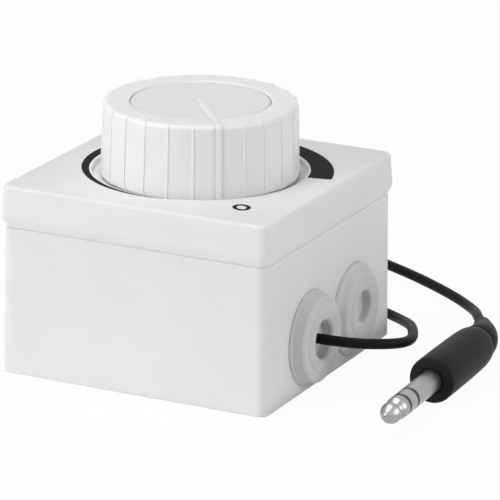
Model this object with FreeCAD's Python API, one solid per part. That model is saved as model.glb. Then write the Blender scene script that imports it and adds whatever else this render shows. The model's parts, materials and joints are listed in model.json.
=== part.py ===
import FreeCAD, Part
import math
import os

from FreeCAD import Placement, Rotation, Vector

# Fan speed controller, surface mounted, with a rotary knob and a jack lead.
# Millimetres. The back of the box lies on Z = 0 and +Z points away from the wall.
# +Y is up the wall as mounted, and the cables enter through the -Y side.

# Surface box
BOX_WIDTH = 80.0            # outside width where the cover sits
BOX_BASE_WIDTH = 81.0       # outside width at the wall, wider by the mould draft
BOX_HEIGHT = 41.7
BOX_WALL = 2.4
BOX_FLOOR = 2.6
BOX_CORNER = 2.6            # outside corner radius
BOX_INNER_CORNER = 1.4
BOX_RIM_ROUND = 0.3         # outside edge under the cover

# Fixing to the wall
WALL_SLOT_PITCH = 60.0      # between the two slots, along Y
WALL_SLOT_WIDTH = 4.6
WALL_SLOT_LENGTH = 9.0      # over the round ends
WALL_RIM_WIDTH = 1.8
WALL_RIM_HEIGHT = 0.8

# Posts that carry the insert
POST_PITCH = 60.0           # between the two posts, along X
POST_DIAMETER = 7.0
POST_DROP = 5.7             # top of the posts, below the joint with the cover
POST_RIB = 1.6
PILOT_DEPTH = 14.0

# Cover
COVER_WIDTH = 82.0          # widest, just above the joint
COVER_TOP_WIDTH = 80.8
COVER_HEIGHT = 11.8         # from the joint to the face
COVER_SEAT_WIDTH = 79.3     # width where the cover touches the box
COVER_BEVEL_HEIGHT = 2.7    # the bevel makes the joint groove with the box
COVER_CORNER = 3.0
COVER_SEAT_CORNER = 2.2
COVER_LIP_CORNER = 1.4
COVER_INNER_CORNER = 1.2
COVER_WALL = 3.7            # at the joint, in line with the inside of the lip
COVER_FACE = 2.5
COVER_EDGE_ROUND = 0.9
COVER_LIP_DEPTH = 2.0       # reaches down inside the box
COVER_LIP_WALL = 1.4
COVER_LIP_CLEARANCE = 0.25

# Round dish that the knob turns in
DISH_RADIUS = 29.8
DISH_DEPTH = 1.6
DISH_WEB = 2.3
DISH_LIP_ROUND = 0.4

# Knob
KNOB_BASE_RADIUS = 27.35     # of the plain skirt, between the grip ribs
KNOB_TOP_RADIUS = 26.75
KNOB_HEIGHT = 20.5
KNOB_DISH_GAP = 0.7         # running gap over the dish floor
KNOB_RIM_ROUND = 1.3
GRIP_RIBS = 24              # round the skirt, one of them under the pointer
GRIP_WIDTH = 0.6
GRIP_PROUD = 0.25           # out of the skirt
GRIP_RIM_PROUD = 0.1        # out of the face
GRIP_FACE_REACH = 3.0       # length of each rib on the knob's face
KNOB_WALL = 2.0
KNOB_ROOF = 2.4
KNOB_HUB_RADIUS = 6.5
KNOB_HUB_GAP = 0.7          # above the retaining ring
KNOB_RIBS = 6
KNOB_RIB_OFFSET = 30.0      # first rib from the pointer, degrees
KNOB_RIB_WIDTH = 1.3
KNOB_RIB_HEIGHT = 7.0
CAP_RADIUS = 19.3
CAP_THICKNESS = 1.2
CAP_RECESS_CLEARANCE = 0.25
CAP_CHAMFER = 0.4
CAP_SINK = 0.25             # cap face below the knob's face
CAP_RECESS_EDGE = 0.4       # chamfer round the recess
POINTER_WIDTH = 1.5
POINTER_DEPTH = 0.9
POINTER_PROUD = 0.12
POINTER_ANGLE = 217.5       # direction of the pointer at rest, degrees from +X

# Turning range
TRAVEL_START = 225.0        # pointer direction when switched off
TRAVEL_END = -75.0          # pointer direction at full speed, turning clockwise

# Shaft and threaded bush
SHAFT_DIAMETER = 6.0
SHAFT_CLEARANCE = 0.05      # radial, running fit in the bush
SHAFT_FLAT_DEPTH = 1.5
SHAFT_TIP_GAP = 0.4
BUSH_THREAD_DIAMETER = 10.0
BUSH_COLLAR_DIAMETER = 14.0
BUSH_SPIGOT_DIAMETER = 12.0
BUSH_TOP_ABOVE_NUT = 1.8
BUSH_HOLE_CLEARANCE = 0.2
BUSH_CHAMFER = 0.6
RING_THICKNESS = 0.6
RING_RADIUS = 4.6
RING_GROOVE_DEPTH = 0.6
RING_GAP = 0.15
RING_MOUTH = 2.4
CLIP_THICKNESS = 0.4
CLIP_WIDTH = 4.0

# Nut and washer on the bush
WASHER_RADIUS = 9.0
WASHER_THICKNESS = 0.7
WASHER_TEETH = 12
WASHER_NOTCH_DEPTH = 1.2
WASHER_NOTCH_WIDTH = 1.2
NUT_ACROSS_FLATS = 14.0
NUT_THICKNESS = 2.8
NUT_CHAMFER_HEIGHT = 0.5
NUT_CHAMFER_RUN = 0.85

# Insert: plate, housing and circuit board
PLATE_LENGTH = 69.0
PLATE_WIDTH = 56.0
PLATE_THICKNESS = 1.2
PLATE_CORNER = 6.0
PLATE_POT_CLEARANCE = 0.4
HOUSING_WIDTH = 50.0
HOUSING_DEPTH = 22.0        # from the plate down
HOUSING_WALL = 1.6
HOUSING_CORNER = 4.0
HOUSING_FLANGE = 1.2
HOUSING_FLANGE_HEIGHT = 1.4
BOARD_WIDTH = 42.0
BOARD_CORNER = 1.0
BOARD_DROP = 4.4            # its upper side, below the plate
BOARD_THICKNESS = 1.6
BOARD_SCREW_PITCH = 34.0
BOARD_PILLAR_RADIUS = 2.6
BOARD_SHAFT_CLEARANCE = 0.8
BOARD_BOSS_CLEARANCE = 0.4
BOSS_PITCH = 42.4           # the two bosses that take the plate's inner screws
BOSS_RADIUS = 2.6

# Screws
POST_SCREW_DIAMETER = 3.0
POST_SCREW_HEAD = 5.8
POST_SCREW_HEAD_HEIGHT = 2.0
POST_SCREW_LENGTH = 10.0
BOSS_SCREW_DIAMETER = 2.5
BOSS_SCREW_HEAD = 4.6
BOSS_SCREW_HEAD_HEIGHT = 1.6
BOSS_SCREW_LENGTH = 7.0
BOARD_SCREW_DIAMETER = 2.2
BOARD_SCREW_HEAD = 4.0
BOARD_SCREW_HEAD_HEIGHT = 1.4
BOARD_SCREW_LENGTH = 6.0
SCREW_SLOT_WIDTH = 0.8
SCREW_SLOT_SHARE = 0.5      # of the head's height
SCREW_CROWN_SHARE = 0.35    # of the head's height that is rounded
HOLE_CLEARANCE = 0.2        # radial, round a screw

# Potentiometer
POT_RADIUS = 13.0
POT_WALL = 1.4
POT_FLOOR = 1.2
POT_HEIGHT = 9.8
POT_LID = 1.0
POT_SHAFT_CLEARANCE = 0.4
TRACK_THICKNESS = 1.0
TRACK_INNER_RADIUS = 5.0
TRACK_CLEARANCE = 0.2
CARRIER_RADIUS = 9.4
CARRIER_THICKNESS = 2.0
CARRIER_LUG_RADIUS = 10.9
CARRIER_LUG_ANGLE = 14.0    # degrees that the stop lug takes
STOP_CLEARANCE_ANGLE = 1.0
STOP_RADIUS = 10.0
WIPER_THICKNESS = 0.5
WIPER_GAP = 0.1
WIPER_RADIUS = 8.6
WIPER_INNER_RADIUS = 6.4
WIPER_ARM = 0.8             # width of each arm
WIPER_SPREAD = 150.0        # degrees
WIPER_SLIT_SPREAD = 120.0
POT_PIN_PITCH = 5.0
POT_PIN_WIDTH = 1.0
POT_PIN_THICKNESS = 0.5
POT_PIN_REACH = 1.8         # out of the side of the case
POT_PIN_INSIDE = 3.1        # under the track, from the outside of the case
POT_PIN_THROUGH = 1.2       # below the board
POT_PIN_HOLE_RADIUS = 0.67

# Off switch behind the potentiometer
SWITCH_RADIUS = 12.0
SWITCH_WALL = 1.4
SWITCH_DEPTH = 9.4
CAM_RADIUS = 6.0
CAM_LOBE_RADIUS = 7.9
CAM_LOBE_ANGLE = 34.0
CAM_THICKNESS = 4.0
CAM_DROP = 6.0              # its lower side, below the board
LEAF_DISTANCE = 8.4
LEAF_THICKNESS = 0.4
LEAF_HEIGHT = 3.0
LEAF_LENGTH = 9.4
SWITCH_PIN_X = 5.4
SWITCH_PIN_WIDTH = 1.6
SWITCH_PIN_THICKNESS = 0.6
SWITCH_PIN_Y = 6.4

# Terminal block
BLOCK_LENGTH = 16.0
BLOCK_DEPTH = 8.0
BLOCK_HEIGHT = 10.0
BLOCK_WALL_GAP = 0.2
TERMINAL_PITCH = 5.0
WIRE_HOLE_RADIUS = 1.3
WIRE_HOLE_DEPTH = 6.0
WIRE_HOLE_HEIGHT = 4.0      # above the block's underside
WIRE_WINDOW = 5.7           # height of the opening in the housing
TERMINAL_SCREW_DIAMETER = 2.5
TERMINAL_SCREW_HEAD = 3.4
TERMINAL_SCREW_HEAD_HEIGHT = 1.2
TERMINAL_SCREW_SETBACK = 4.4
SCREWDRIVER_CLEARANCE = 0.3

# Grommets in the cable entries
GROMMET_PITCH = 27.8
GROMMET_OFFSET = 1.3        # middle of the pair, from the middle of the side
GROMMET_HEIGHT = 14.6       # axis above the wall
GROMMET_FLANGE_RADIUS = 13.4
GROMMET_FLANGE = 1.1
GROMMET_NECK_RADIUS = 10.5
GROMMET_NECK_CLEARANCE = 0.05
GROMMET_INNER_RADIUS = 11.5
GROMMET_INNER_FLANGE = 1.8
GROMMET_INNER_SHOULDER = 0.6
GROMMET_HOLLOW_RADIUS = 8.6
GROMMET_MEMBRANE = 0.8
GROMMET_STEP_TAPER = 0.8    # the step is wider by this much at the flange
GROMMET_LIP_EDGE = 0.5      # chamfers of the step and the lip
GROMMET_LIP_RISE = 0.5      # lip in front of the step

# Front of the grommet with the lead, which the lead holds a little forward
CABLED_STEP_RADIUS = 12.1
CABLED_STEP_FRONT = 4.0     # out from the box
CABLED_LIP_RADIUS = 8.6
CABLED_BORE_RADIUS = 5.4
CABLED_MEMBRANE_FACE = 1.2  # outer face of the membrane, out from the box

# Front of the closed grommet
BLANK_STEP_RADIUS = 10.8
BLANK_STEP_FRONT = 3.1
BLANK_LIP_RADIUS = 7.6
BLANK_BORE_RADIUS = 4.8
BLANK_MEMBRANE_FACE = 0.2

# Lead
CORD_DIAMETER = 2.9
CORD_HOLE_CLEARANCE = 0.05
CORD_INSIDE = 9.0           # sheath inside the box, behind the membrane
WIRE_DIAMETER = 1.1
WIRE_SPREAD = 0.78          # of each wire from the middle of the cord
TIE_WIDTH = 2.5
TIE_THICKNESS = 1.0
TIE_HEAD = 4.0
TIE_SETBACK = 0.5           # from the end of the sheath
WIRE_BEND_START = 0.35      # share of the way where the first wire turns
WIRE_BEND_STEP = 0.15
ARC_SHARE = 0.45            # share of a run that each bend of a tube takes

# Jack plug, 6.35 mm, three contacts
PLUG_X = -8.7               # middle of the moulding's front face
PLUG_Y = -74.9
PLUG_ANGLE = 2.0            # of the axis, degrees from the X axis
PLUG_BODY_DIAMETER = 13.0
PLUG_BODY_REAR_DIAMETER = 12.4
PLUG_BODY_LENGTH = 37.5
PLUG_SHOULDER_DIAMETER = 10.0
PLUG_SHOULDER_LENGTH = 2.4
PLUG_FRONT_ROUND = 0.8
NECK_LENGTH = 18.0
NECK_BEND = 30.0
NECK_TIP_DIAMETER = 4.8
NECK_SECTIONS = 4
NECK_RUN = 8.0              # straight run of the lead behind the neck
PIN_DIAMETER = 6.35
PIN_LENGTH = 31.7
PIN_SLEEVE_LENGTH = 15.7
PIN_INSULATOR = 1.05
PIN_RING_LENGTH = 4.4
PIN_COLLAR_LENGTH = 1.2
PIN_ROOT_DIAMETER = 5.6     # inside the moulding
PIN_WAIST_DIAMETER = 3.9
PIN_WAIST_FROM_END = 5.4
PIN_BULB_DIAMETER = 5.9
PIN_BULB_FROM_END = 3.6
PIN_END_DIAMETER = 1.8
PIN_END_EDGE = 0.25
PIN_ROD_DIAMETER = 1.6
PIN_ROD_SLEEVE = 0.5        # wall of the insulating tube on the rod
PIN_RING_TUBE = 0.5         # wall of the ring contact's tube
PIN_SEAT = 6.0              # depth that the pin's rear reaches into the moulding

# Cutting and joining
CUT_MARGIN = 1.0            # cutters reach this far past what they cut
JOIN_OVERLAP = 0.5          # joined forms run into each other by this much
EDGE_TOLERANCE = 0.01       # for finding an edge by its height

# Values that follow from the sizes above
COVER_TOP = BOX_HEIGHT + COVER_HEIGHT
POST_TOP = BOX_HEIGHT - POST_DROP
HOUSING_BOTTOM = POST_TOP - HOUSING_DEPTH
BOARD_TOP = POST_TOP - BOARD_DROP
HALF_BASE = BOX_BASE_WIDTH / 2
HALF_TOP = BOX_WIDTH / 2
WALL_TILT = math.degrees(math.atan((HALF_BASE - HALF_TOP) / BOX_HEIGHT))
DISH_FLOOR = COVER_TOP - DISH_DEPTH
WEB_UNDERSIDE = DISH_FLOOR - DISH_WEB
PLATE_TOP = POST_TOP + PLATE_THICKNESS
BOARD_BOTTOM = BOARD_TOP - BOARD_THICKNESS
POT_FLOOR_TOP = BOARD_TOP + POT_FLOOR
POT_TOP = BOARD_TOP + POT_HEIGHT
LID_TOP = POT_TOP + POT_LID
TRACK_TOP = POT_FLOOR_TOP + TRACK_THICKNESS
WIPER_BOTTOM = TRACK_TOP + WIPER_GAP
CARRIER_BOTTOM = WIPER_BOTTOM + WIPER_THICKNESS
NUT_BOTTOM = DISH_FLOOR + WASHER_THICKNESS
NUT_TOP = NUT_BOTTOM + NUT_THICKNESS
BUSH_TOP = NUT_TOP + BUSH_TOP_ABOVE_NUT
RING_BOTTOM = BUSH_TOP + RING_GAP
RING_TOP = RING_BOTTOM + RING_THICKNESS
KNOB_BOTTOM = DISH_FLOOR + KNOB_DISH_GAP
KNOB_TOP = KNOB_BOTTOM + KNOB_HEIGHT
KNOB_INNER_TOP = KNOB_TOP - KNOB_ROOF
HUB_BOTTOM = RING_TOP + KNOB_HUB_GAP
SHAFT_TOP = KNOB_INNER_TOP - SHAFT_TIP_GAP
SWITCH_TOP = BOARD_BOTTOM
SWITCH_BOTTOM = SWITCH_TOP - SWITCH_DEPTH
CAM_BOTTOM = SWITCH_TOP - CAM_DROP
SHAFT_BOTTOM = CAM_BOTTOM - SHAFT_TIP_GAP
SHAFT_RADIUS = SHAFT_DIAMETER / 2
SWITCH_FLOOR_TOP = SWITCH_BOTTOM + SWITCH_WALL
HOUSING_FLOOR_TOP = HOUSING_BOTTOM + HOUSING_WALL
HOUSING_INNER = HOUSING_WIDTH / 2 - HOUSING_WALL
BLOCK_FRONT = -(HOUSING_INNER - BLOCK_WALL_GAP)
BLOCK_BOTTOM = BOARD_BOTTOM - BLOCK_HEIGHT
WIRE_HEIGHT = BLOCK_BOTTOM + WIRE_HOLE_HEIGHT
TERMINAL_SCREW_Y = BLOCK_FRONT + TERMINAL_SCREW_SETBACK
CORD_RADIUS = CORD_DIAMETER / 2
ENTRY_Y = -(HALF_BASE - GROMMET_HEIGHT * math.tan(math.radians(WALL_TILT)))
CORD_X = GROMMET_OFFSET - GROMMET_PITCH / 2
CORD_EXIT_Y = ENTRY_Y - CABLED_MEMBRANE_FACE
CORD_END_Y = CORD_EXIT_Y + CORD_INSIDE
PLUG_RADIUS = PLUG_BODY_DIAMETER / 2

Z_AXIS = Vector(0, 0, 1)


def cylinder(radius, height, base=(0, 0, 0), axis=(0, 0, 1)):
    """Cylinder from the middle of its base, along the axis."""
    return Part.makeCylinder(radius, height, Vector(*base), Vector(*axis))


def tube(outer, inner, bottom, top, centre=(0, 0)):
    """Upright tube between two heights."""
    base = (centre[0], centre[1], bottom)
    solid = cylinder(outer, top - bottom, base)
    return solid.cut(cylinder(inner, top - bottom, base))


def block(x_low, x_high, y_low, y_high, z_low, z_high):
    """Box between two corners."""
    return Part.makeBox(x_high - x_low, y_high - y_low, z_high - z_low, Vector(x_low, y_low, z_low))


def turned(shape, angle):
    """Copy turned about the knob's axis, in degrees."""
    copy = shape.copy()
    copy.rotate(Vector(0, 0, 0), Z_AXIS, angle)
    return copy


def arc_point(radius, angle, height=0.0):
    """Point at a radius and an angle in degrees, round the knob's axis."""
    turn = math.radians(angle)
    return Vector(radius * math.cos(turn), radius * math.sin(turn), height)


def rounded_outline(length, width, corner, height):
    """Closed wire of a rectangle with round corners, about the Z axis."""
    half_x = length / 2
    half_y = width / 2
    edges = []
    for quarter in range(4):
        start = 90.0 * quarter
        sign_x = 1 if quarter in (0, 3) else -1
        sign_y = 1 if quarter in (0, 1) else -1
        centre = Vector(sign_x * (half_x - corner), sign_y * (half_y - corner), height)
        points = [centre + arc_point(corner, start + part) for part in (0, 45, 90)]
        edges.append(Part.Arc(*points).toShape())
    sides = []
    for index in range(4):
        sides.append(edges[index])
        end = edges[index].Vertexes[1].Point
        beginning = edges[(index + 1) % 4].Vertexes[0].Point
        sides.append(Part.LineSegment(end, beginning).toShape())
    return Part.Wire(sides)


def rounded_block(length, width, corner, bottom, top):
    """Straight prism with round corners."""
    outline = rounded_outline(length, width, corner, bottom)
    return Part.Face(outline).extrude(Vector(0, 0, top - bottom))


def tapered_block(width_low, width_high, corner_low, corner_high, bottom, top):
    """Square prism with round corners and drafted sides."""
    low = rounded_outline(width_low, width_low, corner_low, bottom)
    high = rounded_outline(width_high, width_high, corner_high, top)
    return Part.makeLoft([low, high], True, True)


def revolved(points, arcs=()):
    """Solid of revolution about Z from (radius, height) points.

    Each entry of arcs is the index of a point that its neighbours are joined through by an arc.
    """
    corners = [Vector(radius, 0, height) for radius, height in points]
    edges = []
    index = 0
    count = len(corners)
    while index < count:
        following = (index + 1) % count
        if following in arcs:
            beyond = (index + 2) % count
            edges.append(Part.Arc(corners[index], corners[following], corners[beyond]).toShape())
            index += 2
        else:
            edges.append(Part.LineSegment(corners[index], corners[following]).toShape())
            index += 1
    face = Part.Face(Part.Wire(edges))
    return face.revolve(Vector(0, 0, 0), Z_AXIS, 360)


def slot_prism(centre_x, centre_y, width, length, bottom, top):
    """Prism of a slot that runs along Y."""
    half = (length - width) / 2
    middle = block(centre_x - width / 2, centre_x + width / 2, centre_y - half, centre_y + half, bottom, top)
    ends = [cylinder(width / 2, top - bottom, (centre_x, centre_y + side * half, bottom)) for side in (-1, 1)]
    return middle.multiFuse(ends).removeSplitter()


def slotted_screw(diameter, length, head, head_height, x, y, seat):
    """Pan head screw that points down, with its head on the seat."""
    shank = cylinder(diameter / 2, length, (x, y, seat - length))
    crown = cylinder(head / 2, head_height, (x, y, seat))
    top_edges = [edge for edge in crown.Edges if edge.BoundBox.ZMin > seat + head_height / 2]
    crown = crown.makeFillet(SCREW_CROWN_SHARE * head_height, top_edges)
    groove = block(x - head, x + head, y - SCREW_SLOT_WIDTH / 2, y + SCREW_SLOT_WIDTH / 2,
                   seat + (1 - SCREW_SLOT_SHARE) * head_height, seat + head_height + CUT_MARGIN)
    return shank.fuse(crown).cut(groove)


def one(shapes):
    """Compound of separate solids."""
    return shapes[0] if len(shapes) == 1 else Part.makeCompound(shapes)


def tube_path(points):
    """Straight runs joined by tangent arcs, as a wire, with the radius of each arc."""
    edges = []
    radii = []
    start = points[0]
    for index in range(1, len(points) - 1):
        corner = points[index]
        back = points[index - 1] - corner
        ahead = points[index + 1] - corner
        half_turn = (math.pi - back.getAngle(ahead)) / 2
        reach = ARC_SHARE * min(back.Length, ahead.Length)
        radius = reach / math.tan(half_turn)
        back.normalize()
        ahead.normalize()
        enter = corner + back * reach
        leave = corner + ahead * reach
        inward = back + ahead
        inward.normalize()
        middle = corner + inward * (radius / math.cos(half_turn) - radius)
        edges.append(Part.LineSegment(start, enter).toShape())
        edges.append(Part.Arc(enter, middle, leave).toShape())
        radii.append(radius)
        start = leave
    edges.append(Part.LineSegment(start, points[-1]).toShape())
    return Part.Wire(edges), radii


def round_tube(points, diameter):
    """Solid tube along the route, with the wire and the arc radii."""
    wire, radii = tube_path(points)
    direction = points[1] - points[0]
    circle = Part.Wire(Part.makeCircle(diameter / 2, points[0], direction))
    solid = wire.makePipeShell([circle], True, False)
    return solid, wire, radii


# Surface box

def box_cavity():
    """Space inside the box, above its floor."""
    lean = (BOX_BASE_WIDTH - BOX_WIDTH) * BOX_FLOOR / BOX_HEIGHT
    width_low = BOX_BASE_WIDTH - lean - 2 * BOX_WALL
    width_high = BOX_WIDTH - 2 * BOX_WALL
    return tapered_block(width_low, width_high, BOX_INNER_CORNER, BOX_INNER_CORNER, BOX_FLOOR, BOX_HEIGHT)


def entry_placement(side):
    """Placement that turns +Z outward, square to the drafted entry side, at one of the two entries."""
    x = GROMMET_OFFSET + side * GROMMET_PITCH / 2
    return Placement(Vector(x, ENTRY_Y, GROMMET_HEIGHT), Rotation(Vector(1, 0, 0), 90 - WALL_TILT))


def make_back_box():
    """Open box with wall slots, insert posts and two round cable entries."""
    box = tapered_block(BOX_BASE_WIDTH, BOX_WIDTH, BOX_CORNER, BOX_CORNER, 0, BOX_HEIGHT)
    rim = [edge for edge in box.Edges if edge.BoundBox.ZMin > BOX_HEIGHT - EDGE_TOLERANCE]
    box = box.makeFillet(BOX_RIM_ROUND, rim).cut(box_cavity())
    additions = []
    for side in (-1, 1):
        y = side * WALL_SLOT_PITCH / 2
        rim_width = WALL_SLOT_WIDTH + 2 * WALL_RIM_WIDTH
        rim_length = WALL_SLOT_LENGTH + 2 * WALL_RIM_WIDTH
        additions.append(slot_prism(0, y, rim_width, rim_length, BOX_FLOOR, BOX_FLOOR + WALL_RIM_HEIGHT))
        x = side * POST_PITCH / 2
        additions.append(cylinder(POST_DIAMETER / 2, POST_TOP - BOX_FLOOR, (x, 0, BOX_FLOOR)))
        near = min(x, side * (HALF_TOP - BOX_WALL))
        far = max(x, side * (HALF_TOP - BOX_WALL))
        additions.append(block(near, far, -POST_RIB / 2, POST_RIB / 2, BOX_FLOOR, POST_TOP))
    box = box.multiFuse(additions)
    cuts = []
    for side in (-1, 1):
        y = side * WALL_SLOT_PITCH / 2
        top = BOX_FLOOR + WALL_RIM_HEIGHT
        cuts.append(slot_prism(0, y, WALL_SLOT_WIDTH, WALL_SLOT_LENGTH, 0, top))
        x = side * POST_PITCH / 2
        cuts.append(cylinder(POST_SCREW_DIAMETER / 2, PILOT_DEPTH, (x, 0, POST_TOP - PILOT_DEPTH)))
        hole = Part.makeCylinder(GROMMET_NECK_RADIUS, 3 * BOX_WALL, Vector(0, 0, -2 * BOX_WALL))
        hole.Placement = entry_placement(side)
        cuts.append(hole)
    return box.cut(cuts).removeSplitter()


# Cover

def make_cover_frame():
    """Square cover with a bevelled lower edge, a round dish and a lip that enters the box."""
    bevel_top = BOX_HEIGHT + COVER_BEVEL_HEIGHT
    seat = rounded_outline(COVER_SEAT_WIDTH, COVER_SEAT_WIDTH, COVER_SEAT_CORNER, BOX_HEIGHT)
    widest = rounded_outline(COVER_WIDTH, COVER_WIDTH, COVER_CORNER, bevel_top)
    face = rounded_outline(COVER_TOP_WIDTH, COVER_TOP_WIDTH, COVER_CORNER, COVER_TOP)
    bevel = Part.makeLoft([seat, widest], True, True)
    body = Part.makeLoft([widest, face], True, True)
    rim = [edge for edge in body.Edges if edge.BoundBox.ZMin > COVER_TOP - EDGE_TOLERANCE]
    body = body.makeFillet(COVER_EDGE_ROUND, rim)
    inner = COVER_SEAT_WIDTH - 2 * COVER_WALL
    lip_width = BOX_WIDTH - 2 * BOX_WALL - 2 * COVER_LIP_CLEARANCE
    lip = rounded_block(lip_width, lip_width, COVER_LIP_CORNER, BOX_HEIGHT - COVER_LIP_DEPTH, BOX_HEIGHT)
    cover = body.multiFuse([bevel, lip])
    lip_inner = min(lip_width - 2 * COVER_LIP_WALL, inner)
    space_top = COVER_TOP - COVER_FACE
    space = rounded_block(lip_inner, lip_inner, COVER_INNER_CORNER, BOX_HEIGHT - COVER_LIP_DEPTH, space_top)
    cover = cover.cut(space)
    web = cylinder(DISH_RADIUS + DISH_WEB, space_top - WEB_UNDERSIDE + JOIN_OVERLAP, (0, 0, WEB_UNDERSIDE))
    cover = cover.fuse(web)
    dish = cylinder(DISH_RADIUS, DISH_DEPTH, (0, 0, DISH_FLOOR))
    hole_radius = BUSH_THREAD_DIAMETER / 2 + BUSH_HOLE_CLEARANCE
    hole = cylinder(hole_radius, DISH_WEB + 2 * CUT_MARGIN, (0, 0, WEB_UNDERSIDE - CUT_MARGIN))
    cover = cover.cut([dish, hole])
    lip_edges = [edge for edge in cover.Edges
                 if edge.BoundBox.ZMin > COVER_TOP - EDGE_TOLERANCE
                 and abs(edge.BoundBox.XLength - 2 * DISH_RADIUS) < EDGE_TOLERANCE]
    return cover.makeFillet(DISH_LIP_ROUND, lip_edges)


# Knob

def knob_envelope(proud=0.0, rise=0.0):
    """Turned form of the knob with its rounded rim, larger by one amount all round and one on top."""
    base = KNOB_BASE_RADIUS + proud
    top = KNOB_TOP_RADIUS + proud
    height = KNOB_TOP + rise
    start = height - KNOB_RIM_ROUND
    half = KNOB_RIM_ROUND * (1 - math.sqrt(0.5))
    points = [(0, KNOB_BOTTOM), (base, KNOB_BOTTOM), (top, start), (top - half, height - half),
              (top - KNOB_RIM_ROUND, height), (0, height)]
    return revolved(points, arcs=(3,))


def grip_ribs():
    """Thin ribs up the skirt that wrap over the rim and end on the face."""
    envelope = knob_envelope(GRIP_PROUD, GRIP_RIM_PROUD)
    start = KNOB_TOP_RADIUS - GRIP_FACE_REACH
    reach = KNOB_BASE_RADIUS + CUT_MARGIN
    blade = block(start, reach, -GRIP_WIDTH / 2, GRIP_WIDTH / 2, KNOB_BOTTOM, KNOB_TOP + CUT_MARGIN)
    blade = blade.common(envelope)
    return [turned(blade, POINTER_ANGLE + index * 360.0 / GRIP_RIBS) for index in range(GRIP_RIBS)]


def pointer_bar():
    """Bar that the pointer is cut from, along +X."""
    half = POINTER_WIDTH / 2
    reach = KNOB_BASE_RADIUS + CUT_MARGIN
    return block(0, reach, -half, half, KNOB_BOTTOM, KNOB_TOP + CUT_MARGIN)


def pointer_core():
    """Form that lies under the pointer, inside the knob."""
    base = KNOB_BASE_RADIUS - POINTER_DEPTH
    top = KNOB_TOP_RADIUS - POINTER_DEPTH
    height = KNOB_TOP - POINTER_DEPTH
    return revolved([(0, KNOB_BOTTOM), (base, KNOB_BOTTOM), (top, height), (0, height)])


def make_knob_pointer():
    """Inlaid line over the face and down the side of the knob."""
    strip = knob_envelope(GRIP_PROUD + POINTER_PROUD, POINTER_PROUD).common(pointer_bar()).cut(pointer_core())
    return turned(strip, POINTER_ANGLE)


def make_knob_shell():
    """Hollow ribbed knob with a hub, stiffeners, a recess for the cap and a slot for the pointer."""
    knob = knob_envelope().multiFuse(grip_ribs())
    inner_radius = KNOB_TOP_RADIUS - KNOB_WALL
    hollow = cylinder(inner_radius, KNOB_INNER_TOP - KNOB_BOTTOM, (0, 0, KNOB_BOTTOM))
    knob = knob.cut(hollow)
    inside = [cylinder(KNOB_HUB_RADIUS, KNOB_INNER_TOP - HUB_BOTTOM + JOIN_OVERLAP, (0, 0, HUB_BOTTOM))]
    for index in range(KNOB_RIBS):
        rib = block(KNOB_HUB_RADIUS / 2, inner_radius + JOIN_OVERLAP, -KNOB_RIB_WIDTH / 2, KNOB_RIB_WIDTH / 2,
                    KNOB_INNER_TOP - KNOB_RIB_HEIGHT, KNOB_INNER_TOP + JOIN_OVERLAP)
        inside.append(turned(rib, POINTER_ANGLE + KNOB_RIB_OFFSET + index * 360.0 / KNOB_RIBS))
    knob = knob.multiFuse(inside)
    recess_floor = KNOB_TOP - CAP_SINK - CAP_THICKNESS
    wall = CAP_RADIUS + CAP_RECESS_CLEARANCE
    recess = revolved([(0, recess_floor), (wall, recess_floor), (wall, KNOB_TOP - CAP_RECESS_EDGE),
                       (wall + CAP_RECESS_EDGE, KNOB_TOP), (0, KNOB_TOP)])
    slot = turned(pointer_bar().cut(pointer_core()), POINTER_ANGLE)
    return knob.cut([recess, slot, hub_bore()]).removeSplitter()


def make_knob_cap():
    """Disc set into the knob's face, cut where the pointer crosses it."""
    bottom = KNOB_TOP - CAP_SINK - CAP_THICKNESS
    disc = cylinder(CAP_RADIUS, CAP_THICKNESS, (0, 0, bottom))
    top_edges = [edge for edge in disc.Edges if edge.BoundBox.ZMin > bottom + CAP_THICKNESS / 2]
    disc = disc.makeChamfer(CAP_CHAMFER, top_edges)
    slot = turned(pointer_bar().cut(pointer_core()), POINTER_ANGLE)
    return disc.cut(slot)


# Shaft, bush and their fittings

def flat_waste(gap, bottom, top):
    """What the flat takes away from the round shaft, on the side away from the pointer."""
    flat_at = SHAFT_RADIUS - SHAFT_FLAT_DEPTH + gap
    reach = 2 * SHAFT_RADIUS
    return turned(block(-reach, -flat_at, -reach, reach, bottom, top), POINTER_ANGLE)


def hub_bore():
    """Bore of the knob's hub, with a flat that leaves room for the spring clip."""
    bore = cylinder(SHAFT_RADIUS, KNOB_INNER_TOP - HUB_BOTTOM, (0, 0, HUB_BOTTOM))
    return bore.cut(flat_waste(CLIP_THICKNESS, HUB_BOTTOM, KNOB_INNER_TOP))


def make_control_shaft():
    """Shaft from the switch cam up into the knob's hub, flat over the hub's length."""
    shaft = cylinder(SHAFT_RADIUS, SHAFT_TOP - SHAFT_BOTTOM, (0, 0, SHAFT_BOTTOM))
    groove = tube(2 * SHAFT_RADIUS, SHAFT_RADIUS - RING_GROOVE_DEPTH, RING_BOTTOM, RING_TOP)
    return shaft.cut([flat_waste(0, HUB_BOTTOM, SHAFT_TOP), groove])


def make_spring_clip():
    """Leaf spring between the shaft's flat and the hub."""
    flat_at = SHAFT_RADIUS - SHAFT_FLAT_DEPTH
    leaf = block(-flat_at - CLIP_THICKNESS, -flat_at, -CLIP_WIDTH / 2, CLIP_WIDTH / 2, HUB_BOTTOM, SHAFT_TOP)
    return turned(leaf, POINTER_ANGLE)


def make_retaining_ring():
    """Open ring in the shaft's groove, above the bush."""
    ring = tube(RING_RADIUS, SHAFT_RADIUS - RING_GROOVE_DEPTH, RING_BOTTOM, RING_TOP)
    mouth = block(0, 2 * RING_RADIUS, -RING_MOUTH / 2, RING_MOUTH / 2, RING_BOTTOM, RING_TOP)
    return ring.cut(turned(mouth, POINTER_ANGLE + 90))


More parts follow.
